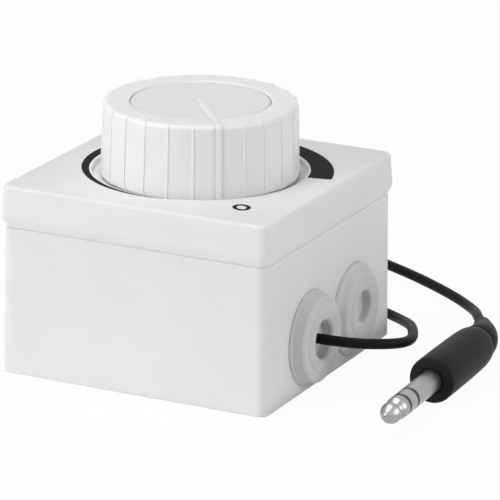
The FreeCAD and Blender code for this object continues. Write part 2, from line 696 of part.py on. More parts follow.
def make_threaded_bush():
    """Bush with a spigot in the lid, a collar under the cover and a threaded nose."""
    bore = SHAFT_RADIUS + SHAFT_CLEARANCE
    spigot = BUSH_SPIGOT_DIAMETER / 2
    collar = BUSH_COLLAR_DIAMETER / 2
    nose = BUSH_THREAD_DIAMETER / 2
    points = [(bore, POT_TOP), (spigot, POT_TOP), (spigot, LID_TOP), (collar, LID_TOP),
              (collar, WEB_UNDERSIDE), (nose, WEB_UNDERSIDE), (nose, BUSH_TOP - BUSH_CHAMFER),
              (nose - BUSH_CHAMFER, BUSH_TOP), (bore, BUSH_TOP)]
    return revolved(points)


def make_lock_washer():
    """Toothed washer under the nut."""
    washer = tube(WASHER_RADIUS, BUSH_THREAD_DIAMETER / 2, DISH_FLOOR, NUT_BOTTOM)
    notches = []
    for index in range(WASHER_TEETH):
        notch = block(WASHER_RADIUS - WASHER_NOTCH_DEPTH, WASHER_RADIUS + CUT_MARGIN,
                      -WASHER_NOTCH_WIDTH / 2, WASHER_NOTCH_WIDTH / 2, DISH_FLOOR, NUT_BOTTOM)
        notches.append(turned(notch, index * 360.0 / WASHER_TEETH))
    return washer.cut(notches)


def make_hex_nut():
    """Chamfered hexagon nut that clamps the cover."""
    across_corners = NUT_ACROSS_FLATS / math.cos(math.radians(30))
    corners = [arc_point(across_corners / 2, 60 * index, NUT_BOTTOM) for index in range(7)]
    prism = Part.Face(Part.makePolygon(corners)).extrude(Vector(0, 0, NUT_THICKNESS))
    radius = across_corners / 2
    chamfered = revolved([(0, NUT_BOTTOM), (radius, NUT_BOTTOM), (radius, NUT_TOP - NUT_CHAMFER_HEIGHT),
                          (radius - NUT_CHAMFER_RUN, NUT_TOP), (0, NUT_TOP)])
    hole = cylinder(BUSH_THREAD_DIAMETER / 2, NUT_THICKNESS, (0, 0, NUT_BOTTOM))
    return prism.common(chamfered).cut(hole)


# Potentiometer

def stop_sector(inner, outer, centre, spread, bottom, top):
    """Ring sector, given by its middle direction and its spread in degrees."""
    first = centre - spread / 2
    last = centre + spread / 2
    corners = [arc_point(inner, first, bottom), arc_point(outer, first, bottom),
               arc_point(outer, last, bottom), arc_point(inner, last, bottom)]
    edges = [
        Part.LineSegment(corners[0], corners[1]).toShape(),
        Part.Arc(corners[1], arc_point(outer, centre, bottom), corners[2]).toShape(),
        Part.LineSegment(corners[2], corners[3]).toShape(),
        Part.Arc(corners[3], arc_point(inner, centre, bottom), corners[0]).toShape(),
    ]
    return Part.Face(Part.Wire(edges)).extrude(Vector(0, 0, top - bottom))


def pot_pin(x):
    """One bent pin of the potentiometer, from under the track down through the board."""
    reach = POT_RADIUS + POT_PIN_REACH
    half = POT_PIN_WIDTH / 2
    top = POT_FLOOR_TOP
    arm = block(x - half, x + half, -reach, -POT_RADIUS + POT_PIN_INSIDE, top - POT_PIN_THICKNESS, top)
    leg = block(x - half, x + half, -reach, -reach + POT_PIN_THICKNESS,
                BOARD_BOTTOM - POT_PIN_THROUGH, top)
    return arm.fuse(leg).removeSplitter()


def pot_pins():
    """The three pins, side by side."""
    return [pot_pin(index * POT_PIN_PITCH) for index in (-1, 0, 1)]


def make_potentiometer_case():
    """Round case with a fixed stop for the wiper carrier."""
    case = cylinder(POT_RADIUS, POT_HEIGHT, (0, 0, BOARD_TOP))
    inner = POT_RADIUS - POT_WALL
    case = case.cut(cylinder(inner, POT_HEIGHT - POT_FLOOR, (0, 0, POT_FLOOR_TOP)))
    dead = 360.0 - (TRAVEL_START - TRAVEL_END)
    spread = dead - CARRIER_LUG_ANGLE - 2 * STOP_CLEARANCE_ANGLE
    centre = TRAVEL_START + dead / 2
    carrier_top = CARRIER_BOTTOM + CARRIER_THICKNESS
    stop = stop_sector(STOP_RADIUS, inner + POT_WALL / 2, centre, spread, CARRIER_BOTTOM, carrier_top)
    case = case.fuse(stop)
    hole = cylinder(SHAFT_RADIUS + POT_SHAFT_CLEARANCE, POT_FLOOR, (0, 0, BOARD_TOP))
    return case.cut([hole] + pot_pins())


def make_potentiometer_lid():
    """Metal lid that carries the bush."""
    return tube(POT_RADIUS, BUSH_SPIGOT_DIAMETER / 2, POT_TOP, LID_TOP)


def make_resistance_track():
    """Ring that carries the resistive layer."""
    outer = POT_RADIUS - POT_WALL - TRACK_CLEARANCE
    return tube(outer, TRACK_INNER_RADIUS, POT_FLOOR_TOP, TRACK_TOP)


def make_wiper_carrier():
    """Disc on the shaft with a lug that meets the stop."""
    top = CARRIER_BOTTOM + CARRIER_THICKNESS
    disc = cylinder(CARRIER_RADIUS, CARRIER_THICKNESS, (0, 0, CARRIER_BOTTOM))
    lug = stop_sector(SHAFT_RADIUS, CARRIER_LUG_RADIUS, POINTER_ANGLE, CARRIER_LUG_ANGLE, CARRIER_BOTTOM, top)
    return disc.fuse(lug).cut(cylinder(SHAFT_RADIUS, CARRIER_THICKNESS, (0, 0, CARRIER_BOTTOM)))


def make_wiper_contact():
    """Flat contact arms under the carrier."""
    top = WIPER_BOTTOM + WIPER_THICKNESS
    ring = stop_sector(WIPER_INNER_RADIUS, WIPER_RADIUS, POINTER_ANGLE, WIPER_SPREAD, WIPER_BOTTOM, top)
    slit = stop_sector(WIPER_INNER_RADIUS + WIPER_ARM, WIPER_RADIUS - WIPER_ARM, POINTER_ANGLE,
                       WIPER_SLIT_SPREAD, WIPER_BOTTOM, top)
    return ring.cut(slit)


# Off switch

def switch_pins():
    """Two flat pins of the switch, up through the board."""
    pins = []
    for side in (-1, 1):
        inner = side * SWITCH_PIN_X
        outer = side * (SWITCH_PIN_X + SWITCH_PIN_THICKNESS)
        pins.append(block(min(inner, outer), max(inner, outer), SWITCH_PIN_Y, SWITCH_PIN_Y + SWITCH_PIN_WIDTH,
                          CAM_BOTTOM, BOARD_BOTTOM))
    return pins


def make_switch_case():
    """Round cup under the board round the cam."""
    cup = cylinder(SWITCH_RADIUS, SWITCH_TOP - SWITCH_BOTTOM, (0, 0, SWITCH_BOTTOM))
    depth = SWITCH_TOP - SWITCH_FLOOR_TOP
    return cup.cut(cylinder(SWITCH_RADIUS - SWITCH_WALL, depth, (0, 0, SWITCH_FLOOR_TOP)))


def make_switch_cam():
    """Cam on the lower end of the shaft, with a lobe for the off position."""
    top = CAM_BOTTOM + CAM_THICKNESS
    disc = cylinder(CAM_RADIUS, CAM_THICKNESS, (0, 0, CAM_BOTTOM))
    lobe_at = POINTER_ANGLE + 90.0 - TRAVEL_START
    lobe = stop_sector(SHAFT_RADIUS, CAM_LOBE_RADIUS, lobe_at, CAM_LOBE_ANGLE, CAM_BOTTOM, top)
    return disc.fuse(lobe).cut(cylinder(SHAFT_RADIUS, CAM_THICKNESS, (0, 0, CAM_BOTTOM)))


def make_switch_leaf():
    """Contact spring that the lobe faces when switched off."""
    low = CAM_BOTTOM + (CAM_THICKNESS - LEAF_HEIGHT) / 2
    leaf = block(-LEAF_LENGTH / 2, LEAF_LENGTH / 2, LEAF_DISTANCE, LEAF_DISTANCE + LEAF_THICKNESS,
                 low, low + LEAF_HEIGHT)
    foot = block(-SWITCH_PIN_X, -LEAF_LENGTH / 2 + LEAF_THICKNESS, SWITCH_PIN_Y, LEAF_DISTANCE + LEAF_THICKNESS,
                 low, low + LEAF_HEIGHT)
    return leaf.fuse(foot).removeSplitter()


# Insert: plate, housing, board, terminals

def screw_places(pitch_x, pitch_y):
    """Two places on the X axis, or four at the corners of a square."""
    if pitch_y:
        return [(sx * pitch_x / 2, sy * pitch_y / 2) for sx in (-1, 1) for sy in (-1, 1)]
    return [(side * pitch_x / 2, 0.0) for side in (-1, 1)]


def make_mounting_plate():
    """Steel plate that rests on the posts and carries the insert."""
    plate = rounded_block(PLATE_LENGTH, PLATE_WIDTH, PLATE_CORNER, POST_TOP, PLATE_TOP)
    cuts = [cylinder(POT_RADIUS + PLATE_POT_CLEARANCE, PLATE_THICKNESS, (0, 0, POST_TOP))]
    for x, y in screw_places(POST_PITCH, 0):
        radius = POST_SCREW_DIAMETER / 2 + HOLE_CLEARANCE
        cuts.append(cylinder(radius, PLATE_THICKNESS, (x, y, POST_TOP)))
    for x, y in screw_places(BOSS_PITCH, 0):
        radius = BOSS_SCREW_DIAMETER / 2 + HOLE_CLEARANCE
        cuts.append(cylinder(radius, PLATE_THICKNESS, (x, y, POST_TOP)))
    return plate.cut(cuts)


def make_module_housing():
    """Moulded cup under the plate, with board pillars, screw bosses and terminal windows."""
    housing = rounded_block(HOUSING_WIDTH, HOUSING_WIDTH, HOUSING_CORNER, HOUSING_BOTTOM, POST_TOP)
    flange_width = HOUSING_WIDTH + 2 * HOUSING_FLANGE
    flange = rounded_block(flange_width, flange_width, HOUSING_CORNER + HOUSING_FLANGE,
                           POST_TOP - HOUSING_FLANGE_HEIGHT, POST_TOP)
    housing = housing.fuse(flange)
    inner = HOUSING_WIDTH - 2 * HOUSING_WALL
    hollow = rounded_block(inner, inner, HOUSING_CORNER - HOUSING_WALL, HOUSING_FLOOR_TOP, POST_TOP)
    housing = housing.cut(hollow)
    additions = []
    for x, y in screw_places(BOARD_SCREW_PITCH, BOARD_SCREW_PITCH):
        additions.append(cylinder(BOARD_PILLAR_RADIUS, BOARD_BOTTOM - HOUSING_BOTTOM, (x, y, HOUSING_BOTTOM)))
    for x, y in screw_places(BOSS_PITCH, 0):
        additions.append(cylinder(BOSS_RADIUS, POST_TOP - HOUSING_BOTTOM, (x, y, HOUSING_BOTTOM)))
    housing = housing.multiFuse(additions)
    cuts = []
    for x, y in screw_places(BOARD_SCREW_PITCH, BOARD_SCREW_PITCH):
        tip = (x, y, BOARD_BOTTOM - BOARD_SCREW_LENGTH)
        cuts.append(cylinder(BOARD_SCREW_DIAMETER / 2, BOARD_SCREW_LENGTH, tip))
    for x, y in screw_places(BOSS_PITCH, 0):
        tip = (x, y, POST_TOP - BOSS_SCREW_LENGTH)
        cuts.append(cylinder(BOSS_SCREW_DIAMETER / 2, BOSS_SCREW_LENGTH, tip))
    half = BLOCK_LENGTH / 2
    cuts.append(block(-half, half, -HOUSING_WIDTH / 2 - CUT_MARGIN, BLOCK_FRONT,
                      WIRE_HEIGHT - WIRE_WINDOW / 2, WIRE_HEIGHT + WIRE_WINDOW / 2))
    for index in (-1, 0, 1):
        place = (index * TERMINAL_PITCH, TERMINAL_SCREW_Y, HOUSING_BOTTOM)
        cuts.append(cylinder(TERMINAL_SCREW_HEAD / 2 + SCREWDRIVER_CLEARANCE, HOUSING_WALL, place))
    return housing.cut(cuts)


def make_circuit_board():
    """Board between the potentiometer and the switch, with notches for the bosses."""
    board = rounded_block(BOARD_WIDTH, BOARD_WIDTH, BOARD_CORNER, BOARD_BOTTOM, BOARD_TOP)
    cuts = [cylinder(SHAFT_RADIUS + BOARD_SHAFT_CLEARANCE, BOARD_THICKNESS, (0, 0, BOARD_BOTTOM))]
    for x, y in screw_places(BOARD_SCREW_PITCH, BOARD_SCREW_PITCH):
        radius = BOARD_SCREW_DIAMETER / 2 + HOLE_CLEARANCE
        cuts.append(cylinder(radius, BOARD_THICKNESS, (x, y, BOARD_BOTTOM)))
    for x, y in screw_places(BOSS_PITCH, 0):
        cuts.append(cylinder(BOSS_RADIUS + BOARD_BOSS_CLEARANCE, BOARD_THICKNESS, (x, y, BOARD_BOTTOM)))
    leg_y = -POT_RADIUS - POT_PIN_REACH + POT_PIN_THICKNESS / 2
    for index in (-1, 0, 1):
        place = (index * POT_PIN_PITCH, leg_y, BOARD_BOTTOM)
        cuts.append(cylinder(POT_PIN_HOLE_RADIUS, BOARD_THICKNESS, place))
    return board.cut(cuts)


def terminal_places():
    """X of each terminal."""
    return [index * TERMINAL_PITCH for index in (-1, 0, 1)]


def make_terminal_block():
    """Three-way block under the board, with wire holes and screw holes."""
    half = BLOCK_LENGTH / 2
    body = block(-half, half, BLOCK_FRONT, BLOCK_FRONT + BLOCK_DEPTH, BLOCK_BOTTOM, BOARD_BOTTOM)
    cuts = []
    for x in terminal_places():
        cuts.append(cylinder(WIRE_HOLE_RADIUS, WIRE_HOLE_DEPTH, (x, BLOCK_FRONT, WIRE_HEIGHT), (0, 1, 0)))
        depth = WIRE_HEIGHT - BLOCK_BOTTOM
        cuts.append(cylinder(TERMINAL_SCREW_DIAMETER / 2, depth, (x, TERMINAL_SCREW_Y, BLOCK_BOTTOM)))
    return body.cut(cuts)


def make_terminal_screws():
    """Screws that clamp the wires from below."""
    screws = []
    tip = WIRE_HEIGHT - WIRE_DIAMETER / 2
    for x in terminal_places():
        shank = cylinder(TERMINAL_SCREW_DIAMETER / 2, tip - BLOCK_BOTTOM, (x, TERMINAL_SCREW_Y, BLOCK_BOTTOM))
        head_low = BLOCK_BOTTOM - TERMINAL_SCREW_HEAD_HEIGHT
        head = cylinder(TERMINAL_SCREW_HEAD / 2, TERMINAL_SCREW_HEAD_HEIGHT, (x, TERMINAL_SCREW_Y, head_low))
        groove = block(x - TERMINAL_SCREW_HEAD, x + TERMINAL_SCREW_HEAD,
                       TERMINAL_SCREW_Y - SCREW_SLOT_WIDTH / 2, TERMINAL_SCREW_Y + SCREW_SLOT_WIDTH / 2,
                       head_low, head_low + TERMINAL_SCREW_HEAD_HEIGHT / 2)
        screws.append(shank.fuse(head).cut(groove))
    return one(screws)


# Grommets

def make_grommet(side, pierced, step_radius, step_front, lip_radius, bore_radius, face):
    """Stepped rubber grommet in one of the two entries, turned about Z with +Z outward."""
    neck = GROMMET_NECK_RADIUS - GROMMET_NECK_CLEARANCE
    flange = GROMMET_FLANGE_RADIUS
    front = step_front + GROMMET_LIP_RISE
    edge = GROMMET_LIP_EDGE
    points = [
        (0, face - GROMMET_MEMBRANE),
        (GROMMET_HOLLOW_RADIUS, face - GROMMET_MEMBRANE),
        (GROMMET_HOLLOW_RADIUS, -BOX_WALL - GROMMET_INNER_FLANGE),
        (neck, -BOX_WALL - GROMMET_INNER_FLANGE),
        (GROMMET_INNER_RADIUS, -BOX_WALL - GROMMET_INNER_SHOULDER),
        (GROMMET_INNER_RADIUS, -BOX_WALL),
        (neck, -BOX_WALL),
        (neck, 0),
        (flange, 0),
        (flange, GROMMET_FLANGE / 2),
        (flange - GROMMET_FLANGE / 2, GROMMET_FLANGE),
        (step_radius + GROMMET_STEP_TAPER, GROMMET_FLANGE),
        (step_radius, step_front - edge),
        (step_radius - edge, step_front),
        (lip_radius + edge, step_front),
        (lip_radius, front),
        (bore_radius + edge, front),
        (bore_radius, front - edge),
        (bore_radius, face),
        (0, face),
    ]
    body = revolved(points)
    if pierced:
        base = (0, 0, face - GROMMET_MEMBRANE)
        body = body.cut(cylinder(CORD_RADIUS + CORD_HOLE_CLEARANCE, GROMMET_MEMBRANE, base))
    body.Placement = entry_placement(side)
    return body


# Lead inside the box

def make_cord_inner():
    """End of the sheath behind the membrane."""
    return cylinder(CORD_RADIUS, CORD_INSIDE, (CORD_X, CORD_EXIT_Y, GROMMET_HEIGHT), (0, 1, 0))


def make_cable_tie():
    """Tie round the sheath that stops it from being pulled out."""
    start = CORD_END_Y - TIE_WIDTH - TIE_SETBACK
    outer = CORD_RADIUS + TIE_THICKNESS
    band = cylinder(outer, TIE_WIDTH, (CORD_X, start, GROMMET_HEIGHT), (0, 1, 0))
    head = block(CORD_X - TIE_HEAD / 2, CORD_X + TIE_HEAD / 2, start, start + TIE_WIDTH,
                 GROMMET_HEIGHT, GROMMET_HEIGHT + outer + TIE_THICKNESS)
    hole = cylinder(CORD_RADIUS, TIE_WIDTH, (CORD_X, start, GROMMET_HEIGHT), (0, 1, 0))
    return band.fuse(head).cut(hole).removeSplitter()


def make_conductor_wires():
    """Three insulated wires from the sheath to the terminals."""
    wires = []
    tip_y = BLOCK_FRONT + WIRE_HOLE_DEPTH
    run = -HOUSING_WIDTH / 2 - CORD_END_Y
    for index, x in enumerate(terminal_places()):
        turn = 90 + 120 * index
        start_x = CORD_X + WIRE_SPREAD * math.cos(math.radians(turn))
        start_z = GROMMET_HEIGHT + WIRE_SPREAD * math.sin(math.radians(turn))
        bend_y = CORD_END_Y + run * (WIRE_BEND_START + WIRE_BEND_STEP * index)
        points = [Vector(start_x, CORD_END_Y, start_z), Vector(start_x, bend_y, start_z),
                  Vector(x, bend_y, WIRE_HEIGHT), Vector(x, tip_y, WIRE_HEIGHT)]
        solid, _, radii = round_tube(points, WIRE_DIAMETER)
        print("wire", index, "radii", [round(radius, 1) for radius in radii])
        wires.append(solid)
    return one(wires)


# Lead outside the box: points of the route, chosen by hand, from the grommet to the plug

CORD_ROUTE = [
    (CORD_X, CORD_EXIT_Y, GROMMET_HEIGHT),
    (CORD_X, -52.1, GROMMET_HEIGHT),
    (-5.4, -61.9, 13.9),
    (6.8, -64.0, 12.2),
    (21.1, -54.3, 9.0),
    (43.3, -45.1, 2.4),
    (57.7, -27.8, CORD_RADIUS),
    (61.5, -8.0, CORD_RADIUS),
    (66.8, 12.2, CORD_RADIUS),
    (79.2, 27.5, CORD_RADIUS),
    (97.5, 24.5, CORD_RADIUS),
    (104.0, 6.5, CORD_RADIUS),
    (95.4, -11.0, CORD_RADIUS),
    (87.0, -27.4, CORD_RADIUS),
    (75.6, -45.2, CORD_RADIUS),
    (64.4, -57.2, 2.4),
]


def plug_direction(angle=PLUG_ANGLE):
    """Direction from the front of the plug to its rear."""
    return Vector(math.cos(math.radians(angle)), math.sin(math.radians(angle)), 0)


def plug_placement(distance):
    """Placement that lays +Z along the pin, at a distance back from the front face."""
    origin = Vector(PLUG_X, PLUG_Y, PLUG_RADIUS) + plug_direction() * distance
    return Placement(origin, Rotation(Z_AXIS, plug_direction() * -1))


def neck_stations():
    """Middle and direction of the sections along the curved neck."""
    radius = NECK_LENGTH / math.radians(NECK_BEND)
    start = Vector(PLUG_X, PLUG_Y, PLUG_RADIUS) + plug_direction() * PLUG_BODY_LENGTH
    side = plug_direction(PLUG_ANGLE + 90)
    centre = start + side * radius
    stations = []
    for part in range(NECK_SECTIONS):
        turn = NECK_BEND * part / (NECK_SECTIONS - 1)
        outward = plug_direction(PLUG_ANGLE - 90 + turn)
        stations.append((centre + outward * radius, plug_direction(PLUG_ANGLE + turn)))
    return stations


def make_plug_neck():
    """Curved, tapered strain relief behind the plug."""
    circles = []
    for part, (middle, direction) in enumerate(neck_stations()):
        share = part / (NECK_SECTIONS - 1)
        diameter = PLUG_SHOULDER_DIAMETER + (NECK_TIP_DIAMETER - PLUG_SHOULDER_DIAMETER) * share
        circles.append(Part.Wire(Part.makeCircle(diameter / 2, middle, direction)))
    return Part.makeLoft(circles, True, False)


def make_cord():
    """Free lead between the grommet and the plug."""
    end, direction = neck_stations()[-1]
    points = [Vector(*point) for point in CORD_ROUTE]
    points.append(end + direction * NECK_RUN)
    points.append(end)
    solid, wire, radii = round_tube(points, CORD_DIAMETER)
    section = math.pi * CORD_RADIUS ** 2
    print("cord length", round(wire.Length, 1), "radii", [round(radius, 1) for radius in radii])
    print("cord volume over section times length", round(solid.Volume / (section * wire.Length), 4))
    return solid


# Jack plug

def make_plug_body():
    """Moulded grip with a rounded front and a sloped shoulder."""
    front = PLUG_BODY_DIAMETER / 2
    rear = PLUG_BODY_REAR_DIAMETER / 2
    shoulder = PLUG_SHOULDER_DIAMETER / 2
    back = -PLUG_BODY_LENGTH
    half = PLUG_FRONT_ROUND * (1 - math.sqrt(0.5))
    points = [(0, back), (shoulder, back), (rear, back + PLUG_SHOULDER_LENGTH), (front, -PLUG_FRONT_ROUND),
              (front - half, -half), (front - PLUG_FRONT_ROUND, 0), (0, 0)]
    body = revolved(points, arcs=(4,))
    body = body.cut(cylinder(PIN_ROOT_DIAMETER / 2, PIN_SEAT, (0, 0, -PIN_SEAT)))
    body.Placement = plug_placement(0)
    return body


def core_radii():
    """Radii inside the pin: rod, insulating tube on it, ring contact's tube, outer insulating tube."""
    rod = PIN_ROD_DIAMETER / 2
    inner_tube = rod + PIN_ROD_SLEEVE
    ring_tube = inner_tube + PIN_RING_TUBE
    return rod, inner_tube, ring_tube, ring_tube + PIN_ROD_SLEEVE


def ring_start():
    """Start of the ring contact along the pin."""
    return PIN_SLEEVE_LENGTH + PIN_INSULATOR


def tip_start():
    """Start of the tip contact along the pin."""
    return ring_start() + PIN_RING_LENGTH + PIN_INSULATOR


def make_plug_sleeve():
    """Outer contact of the pin, with a thinner root inside the moulding."""
    bore = core_radii()[3]
    root = PIN_ROOT_DIAMETER / 2
    outer = PIN_DIAMETER / 2
    sleeve = revolved([(bore, -PIN_SEAT), (root, -PIN_SEAT), (root, 0), (outer, 0),
                       (outer, PIN_SLEEVE_LENGTH), (bore, PIN_SLEEVE_LENGTH)])
    sleeve.Placement = plug_placement(0)
    return sleeve


def make_plug_ring():
    """Middle contact, with its tube that runs back through the sleeve."""
    inner_tube, ring_tube = core_radii()[1:3]
    outer = PIN_DIAMETER / 2
    start = ring_start()
    end = start + PIN_RING_LENGTH
    ring = revolved([(inner_tube, -PIN_SEAT), (ring_tube, -PIN_SEAT), (ring_tube, start), (outer, start),
                     (outer, end), (inner_tube, end)])
    ring.Placement = plug_placement(0)
    return ring


def make_plug_tip():
    """Tip contact with its waist and bulb, on a rod that runs back to the moulding."""
    rod = PIN_ROD_DIAMETER / 2
    start = tip_start()
    collar = start + PIN_COLLAR_LENGTH
    waist = PIN_LENGTH - PIN_WAIST_FROM_END
    bulb = PIN_LENGTH - PIN_BULB_FROM_END
    outer = PIN_DIAMETER / 2
    end = PIN_END_DIAMETER / 2
    points = [(0, -PIN_SEAT), (rod, -PIN_SEAT), (rod, start), (outer, start), (outer, collar),
              (PIN_WAIST_DIAMETER / 2, waist), (PIN_BULB_DIAMETER / 2, bulb),
              (end, PIN_LENGTH - PIN_END_EDGE), (end - PIN_END_EDGE, PIN_LENGTH), (0, PIN_LENGTH)]
    tip = revolved(points)
    tip.Placement = plug_placement(0)
    return tip


def make_plug_insulators():
    """Two insulators, flush with the pin: one between sleeve and ring, one between ring and tip."""
    rod, inner_tube, ring_tube, sleeve_bore = core_radii()
    outer = PIN_DIAMETER / 2
    front_start = tip_start() - PIN_INSULATOR
    rear = revolved([(ring_tube, -PIN_SEAT), (sleeve_bore, -PIN_SEAT), (sleeve_bore, PIN_SLEEVE_LENGTH),
                     (outer, PIN_SLEEVE_LENGTH), (outer, ring_start()), (ring_tube, ring_start())])
    front = revolved([(rod, -PIN_SEAT), (inner_tube, -PIN_SEAT), (inner_tube, front_start),
                      (outer, front_start), (outer, tip_start()), (rod, tip_start())])
    for insulator in (rear, front):
        insulator.Placement = plug_placement(0)
    return one([rear, front])


def make_plate_screws():
    """Screws that hold the plate on the posts."""
    return one([slotted_screw(POST_SCREW_DIAMETER, POST_SCREW_LENGTH, POST_SCREW_HEAD, POST_SCREW_HEAD_HEIGHT,
                              x, y, PLATE_TOP) for x, y in screw_places(POST_PITCH, 0)])


def make_housing_screws():
    """Screws that hold the housing under the plate."""
    return one([slotted_screw(BOSS_SCREW_DIAMETER, BOSS_SCREW_LENGTH, BOSS_SCREW_HEAD, BOSS_SCREW_HEAD_HEIGHT,
                              x, y, PLATE_TOP) for x, y in screw_places(BOSS_PITCH, 0)])


def make_board_screws():
    """Screws that hold the board on its pillars."""
    places = screw_places(BOARD_SCREW_PITCH, BOARD_SCREW_PITCH)
    return one([slotted_screw(BOARD_SCREW_DIAMETER, BOARD_SCREW_LENGTH, BOARD_SCREW_HEAD,
                              BOARD_SCREW_HEAD_HEIGHT, x, y, BOARD_TOP) for x, y in places])


def build():
    """All pieces, by name."""
    return {
        "back_box": make_back_box(),
        "cover_frame": make_cover_frame(),
        "mounting_plate": make_mounting_plate(),
        "plate_screws": make_plate_screws(),
        "module_housing": make_module_housing(),
        "housing_screws": make_housing_screws(),
        "circuit_board": make_circuit_board(),
        "board_screws": make_board_screws(),
        "terminal_block": make_terminal_block(),
        "terminal_screws": make_terminal_screws(),
        "potentiometer_case": make_potentiometer_case(),
        "potentiometer_lid": make_potentiometer_lid(),
        "resistance_track": make_resistance_track(),
        "potentiometer_pins": one(pot_pins()),
        "wiper_carrier": make_wiper_carrier(),
        "wiper_contact": make_wiper_contact(),
        "switch_case": make_switch_case(),
        "switch_pins": one(switch_pins()),
        "switch_leaf": make_switch_leaf(),
        "switch_cam": make_switch_cam(),
        "control_shaft": make_control_shaft(),
        "threaded_bush": make_threaded_bush(),
        "retaining_ring": make_retaining_ring(),
        "lock_washer": make_lock_washer(),
        "hex_nut": make_hex_nut(),
        "knob_shell": make_knob_shell(),
        "knob_cap": make_knob_cap(),
        "knob_pointer": make_knob_pointer(),
        "knob_spring_clip": make_spring_clip(),
        "grommet_cabled": make_grommet(-1, True, CABLED_STEP_RADIUS, CABLED_STEP_FRONT,
                                       CABLED_LIP_RADIUS, CABLED_BORE_RADIUS, CABLED_MEMBRANE_FACE),
        "grommet_blank": make_grommet(1, False, BLANK_STEP_RADIUS, BLANK_STEP_FRONT,
                                      BLANK_LIP_RADIUS, BLANK_BORE_RADIUS, BLANK_MEMBRANE_FACE),
        "cord_inner": make_cord_inner(),
        "cable_tie": make_cable_tie(),
        "conductor_wires": make_conductor_wires(),
        "cord": make_cord(),
        "plug_neck": make_plug_neck(),
        "plug_body": make_plug_body(),
        "plug_sleeve": make_plug_sleeve(),
        "plug_ring": make_plug_ring(),
        "plug_tip": make_plug_tip(),
        "plug_insulators": make_plug_insulators(),
    }


os.makedirs("parts", exist_ok=True)
for name, shape in build().items():
    if not shape.isValid() or not shape.Solids:
        raise ValueError(name + " is not a valid solid")
    print(name, len(shape.Solids), "solids", round(shape.Volume, 1), "mm3")
    shape.exportStep("parts/" + name + ".step")
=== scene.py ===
import json
import logging
import math
from dataclasses import dataclass
from enum import Enum
from typing import Any, Sequence

import bmesh
import bpy
from mathutils import Matrix, Vector

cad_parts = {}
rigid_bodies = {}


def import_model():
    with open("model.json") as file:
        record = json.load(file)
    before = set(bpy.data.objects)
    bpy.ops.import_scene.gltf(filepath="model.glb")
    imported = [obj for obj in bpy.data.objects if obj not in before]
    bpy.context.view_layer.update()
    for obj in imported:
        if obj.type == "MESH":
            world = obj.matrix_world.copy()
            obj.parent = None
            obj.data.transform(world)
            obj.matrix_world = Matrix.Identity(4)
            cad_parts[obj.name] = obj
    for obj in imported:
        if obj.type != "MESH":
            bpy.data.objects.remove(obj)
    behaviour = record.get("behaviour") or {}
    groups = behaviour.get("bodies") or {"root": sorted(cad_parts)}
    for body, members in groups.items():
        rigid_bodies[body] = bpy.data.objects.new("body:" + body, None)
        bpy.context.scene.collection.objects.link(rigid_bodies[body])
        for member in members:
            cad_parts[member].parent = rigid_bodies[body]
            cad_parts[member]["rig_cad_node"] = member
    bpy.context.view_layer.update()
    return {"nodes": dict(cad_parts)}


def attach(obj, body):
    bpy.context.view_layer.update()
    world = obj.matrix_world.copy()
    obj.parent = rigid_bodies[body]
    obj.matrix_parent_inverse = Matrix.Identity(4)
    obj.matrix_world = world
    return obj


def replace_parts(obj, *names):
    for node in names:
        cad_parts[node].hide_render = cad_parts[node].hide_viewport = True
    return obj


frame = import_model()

# Looks of the fan speed controller: studio, finishes, printed marks, closed grommet, lead and plug.
# Sizes are millimetres and angles degrees unless a comment says otherwise. Every mesh is made in
# metres in the CAD frame.

Colour = tuple[float, float, float, float]
Point = tuple[float, float, float]
Range = tuple[float, float]
Profile = tuple[tuple[float, float], ...]       # place along an axis, and radius there
Station = tuple[Vector, Vector, float]          # middle, direction and radius of a round section

MM = 0.001
IMAGE_SIDE = 500                # pixels, the photograph is square
SENSOR = 36.0                   # side of the camera's sensor
UP = Vector((0.0, 0.0, 1.0))
WHITE: Colour = (1.0, 1.0, 1.0, 1.0)
HALF = 0.5                      # mean of a noise, and what maps a sine onto 0 to 1

SRGB_KNEE = 0.04045             # screen values up to here lie on a straight line
SRGB_SLOPE = 12.92
SRGB_OFFSET = 0.055
SRGB_POWER = 2.4

# Sockets of a Mix node that is set to colours
MIX_FACTOR, MIX_FIRST, MIX_SECOND, MIX_RESULT = 0, 6, 7, 2


def srgb(code: str) -> Colour:
    """Linear colour of a hexadecimal screen colour.

    Args:
        code: six hexadecimal digits.

    Returns:
        Red, green, blue and alpha.
    """
    parts = [int(code[index:index + 2], 16) / 255 for index in (0, 2, 4)]
    linear = [part / SRGB_SLOPE if part <= SRGB_KNEE
              else ((part + SRGB_OFFSET) / (1 + SRGB_OFFSET)) ** SRGB_POWER for part in parts]
    return (linear[0], linear[1], linear[2], 1.0)


def shade(colour: Colour, factor: float) -> Colour:
    """Colour made darker or lighter by a factor."""
    return (colour[0] * factor, colour[1] * factor, colour[2] * factor, 1.0)


def polar(radius: float, angle: float, height: float) -> Vector:
    """Point round the knob's axis, in metres, from millimetres and degrees."""
    turn = math.radians(angle)
    return Vector((radius * math.cos(turn), radius * math.sin(turn), height)) * MM


# Shader graphs


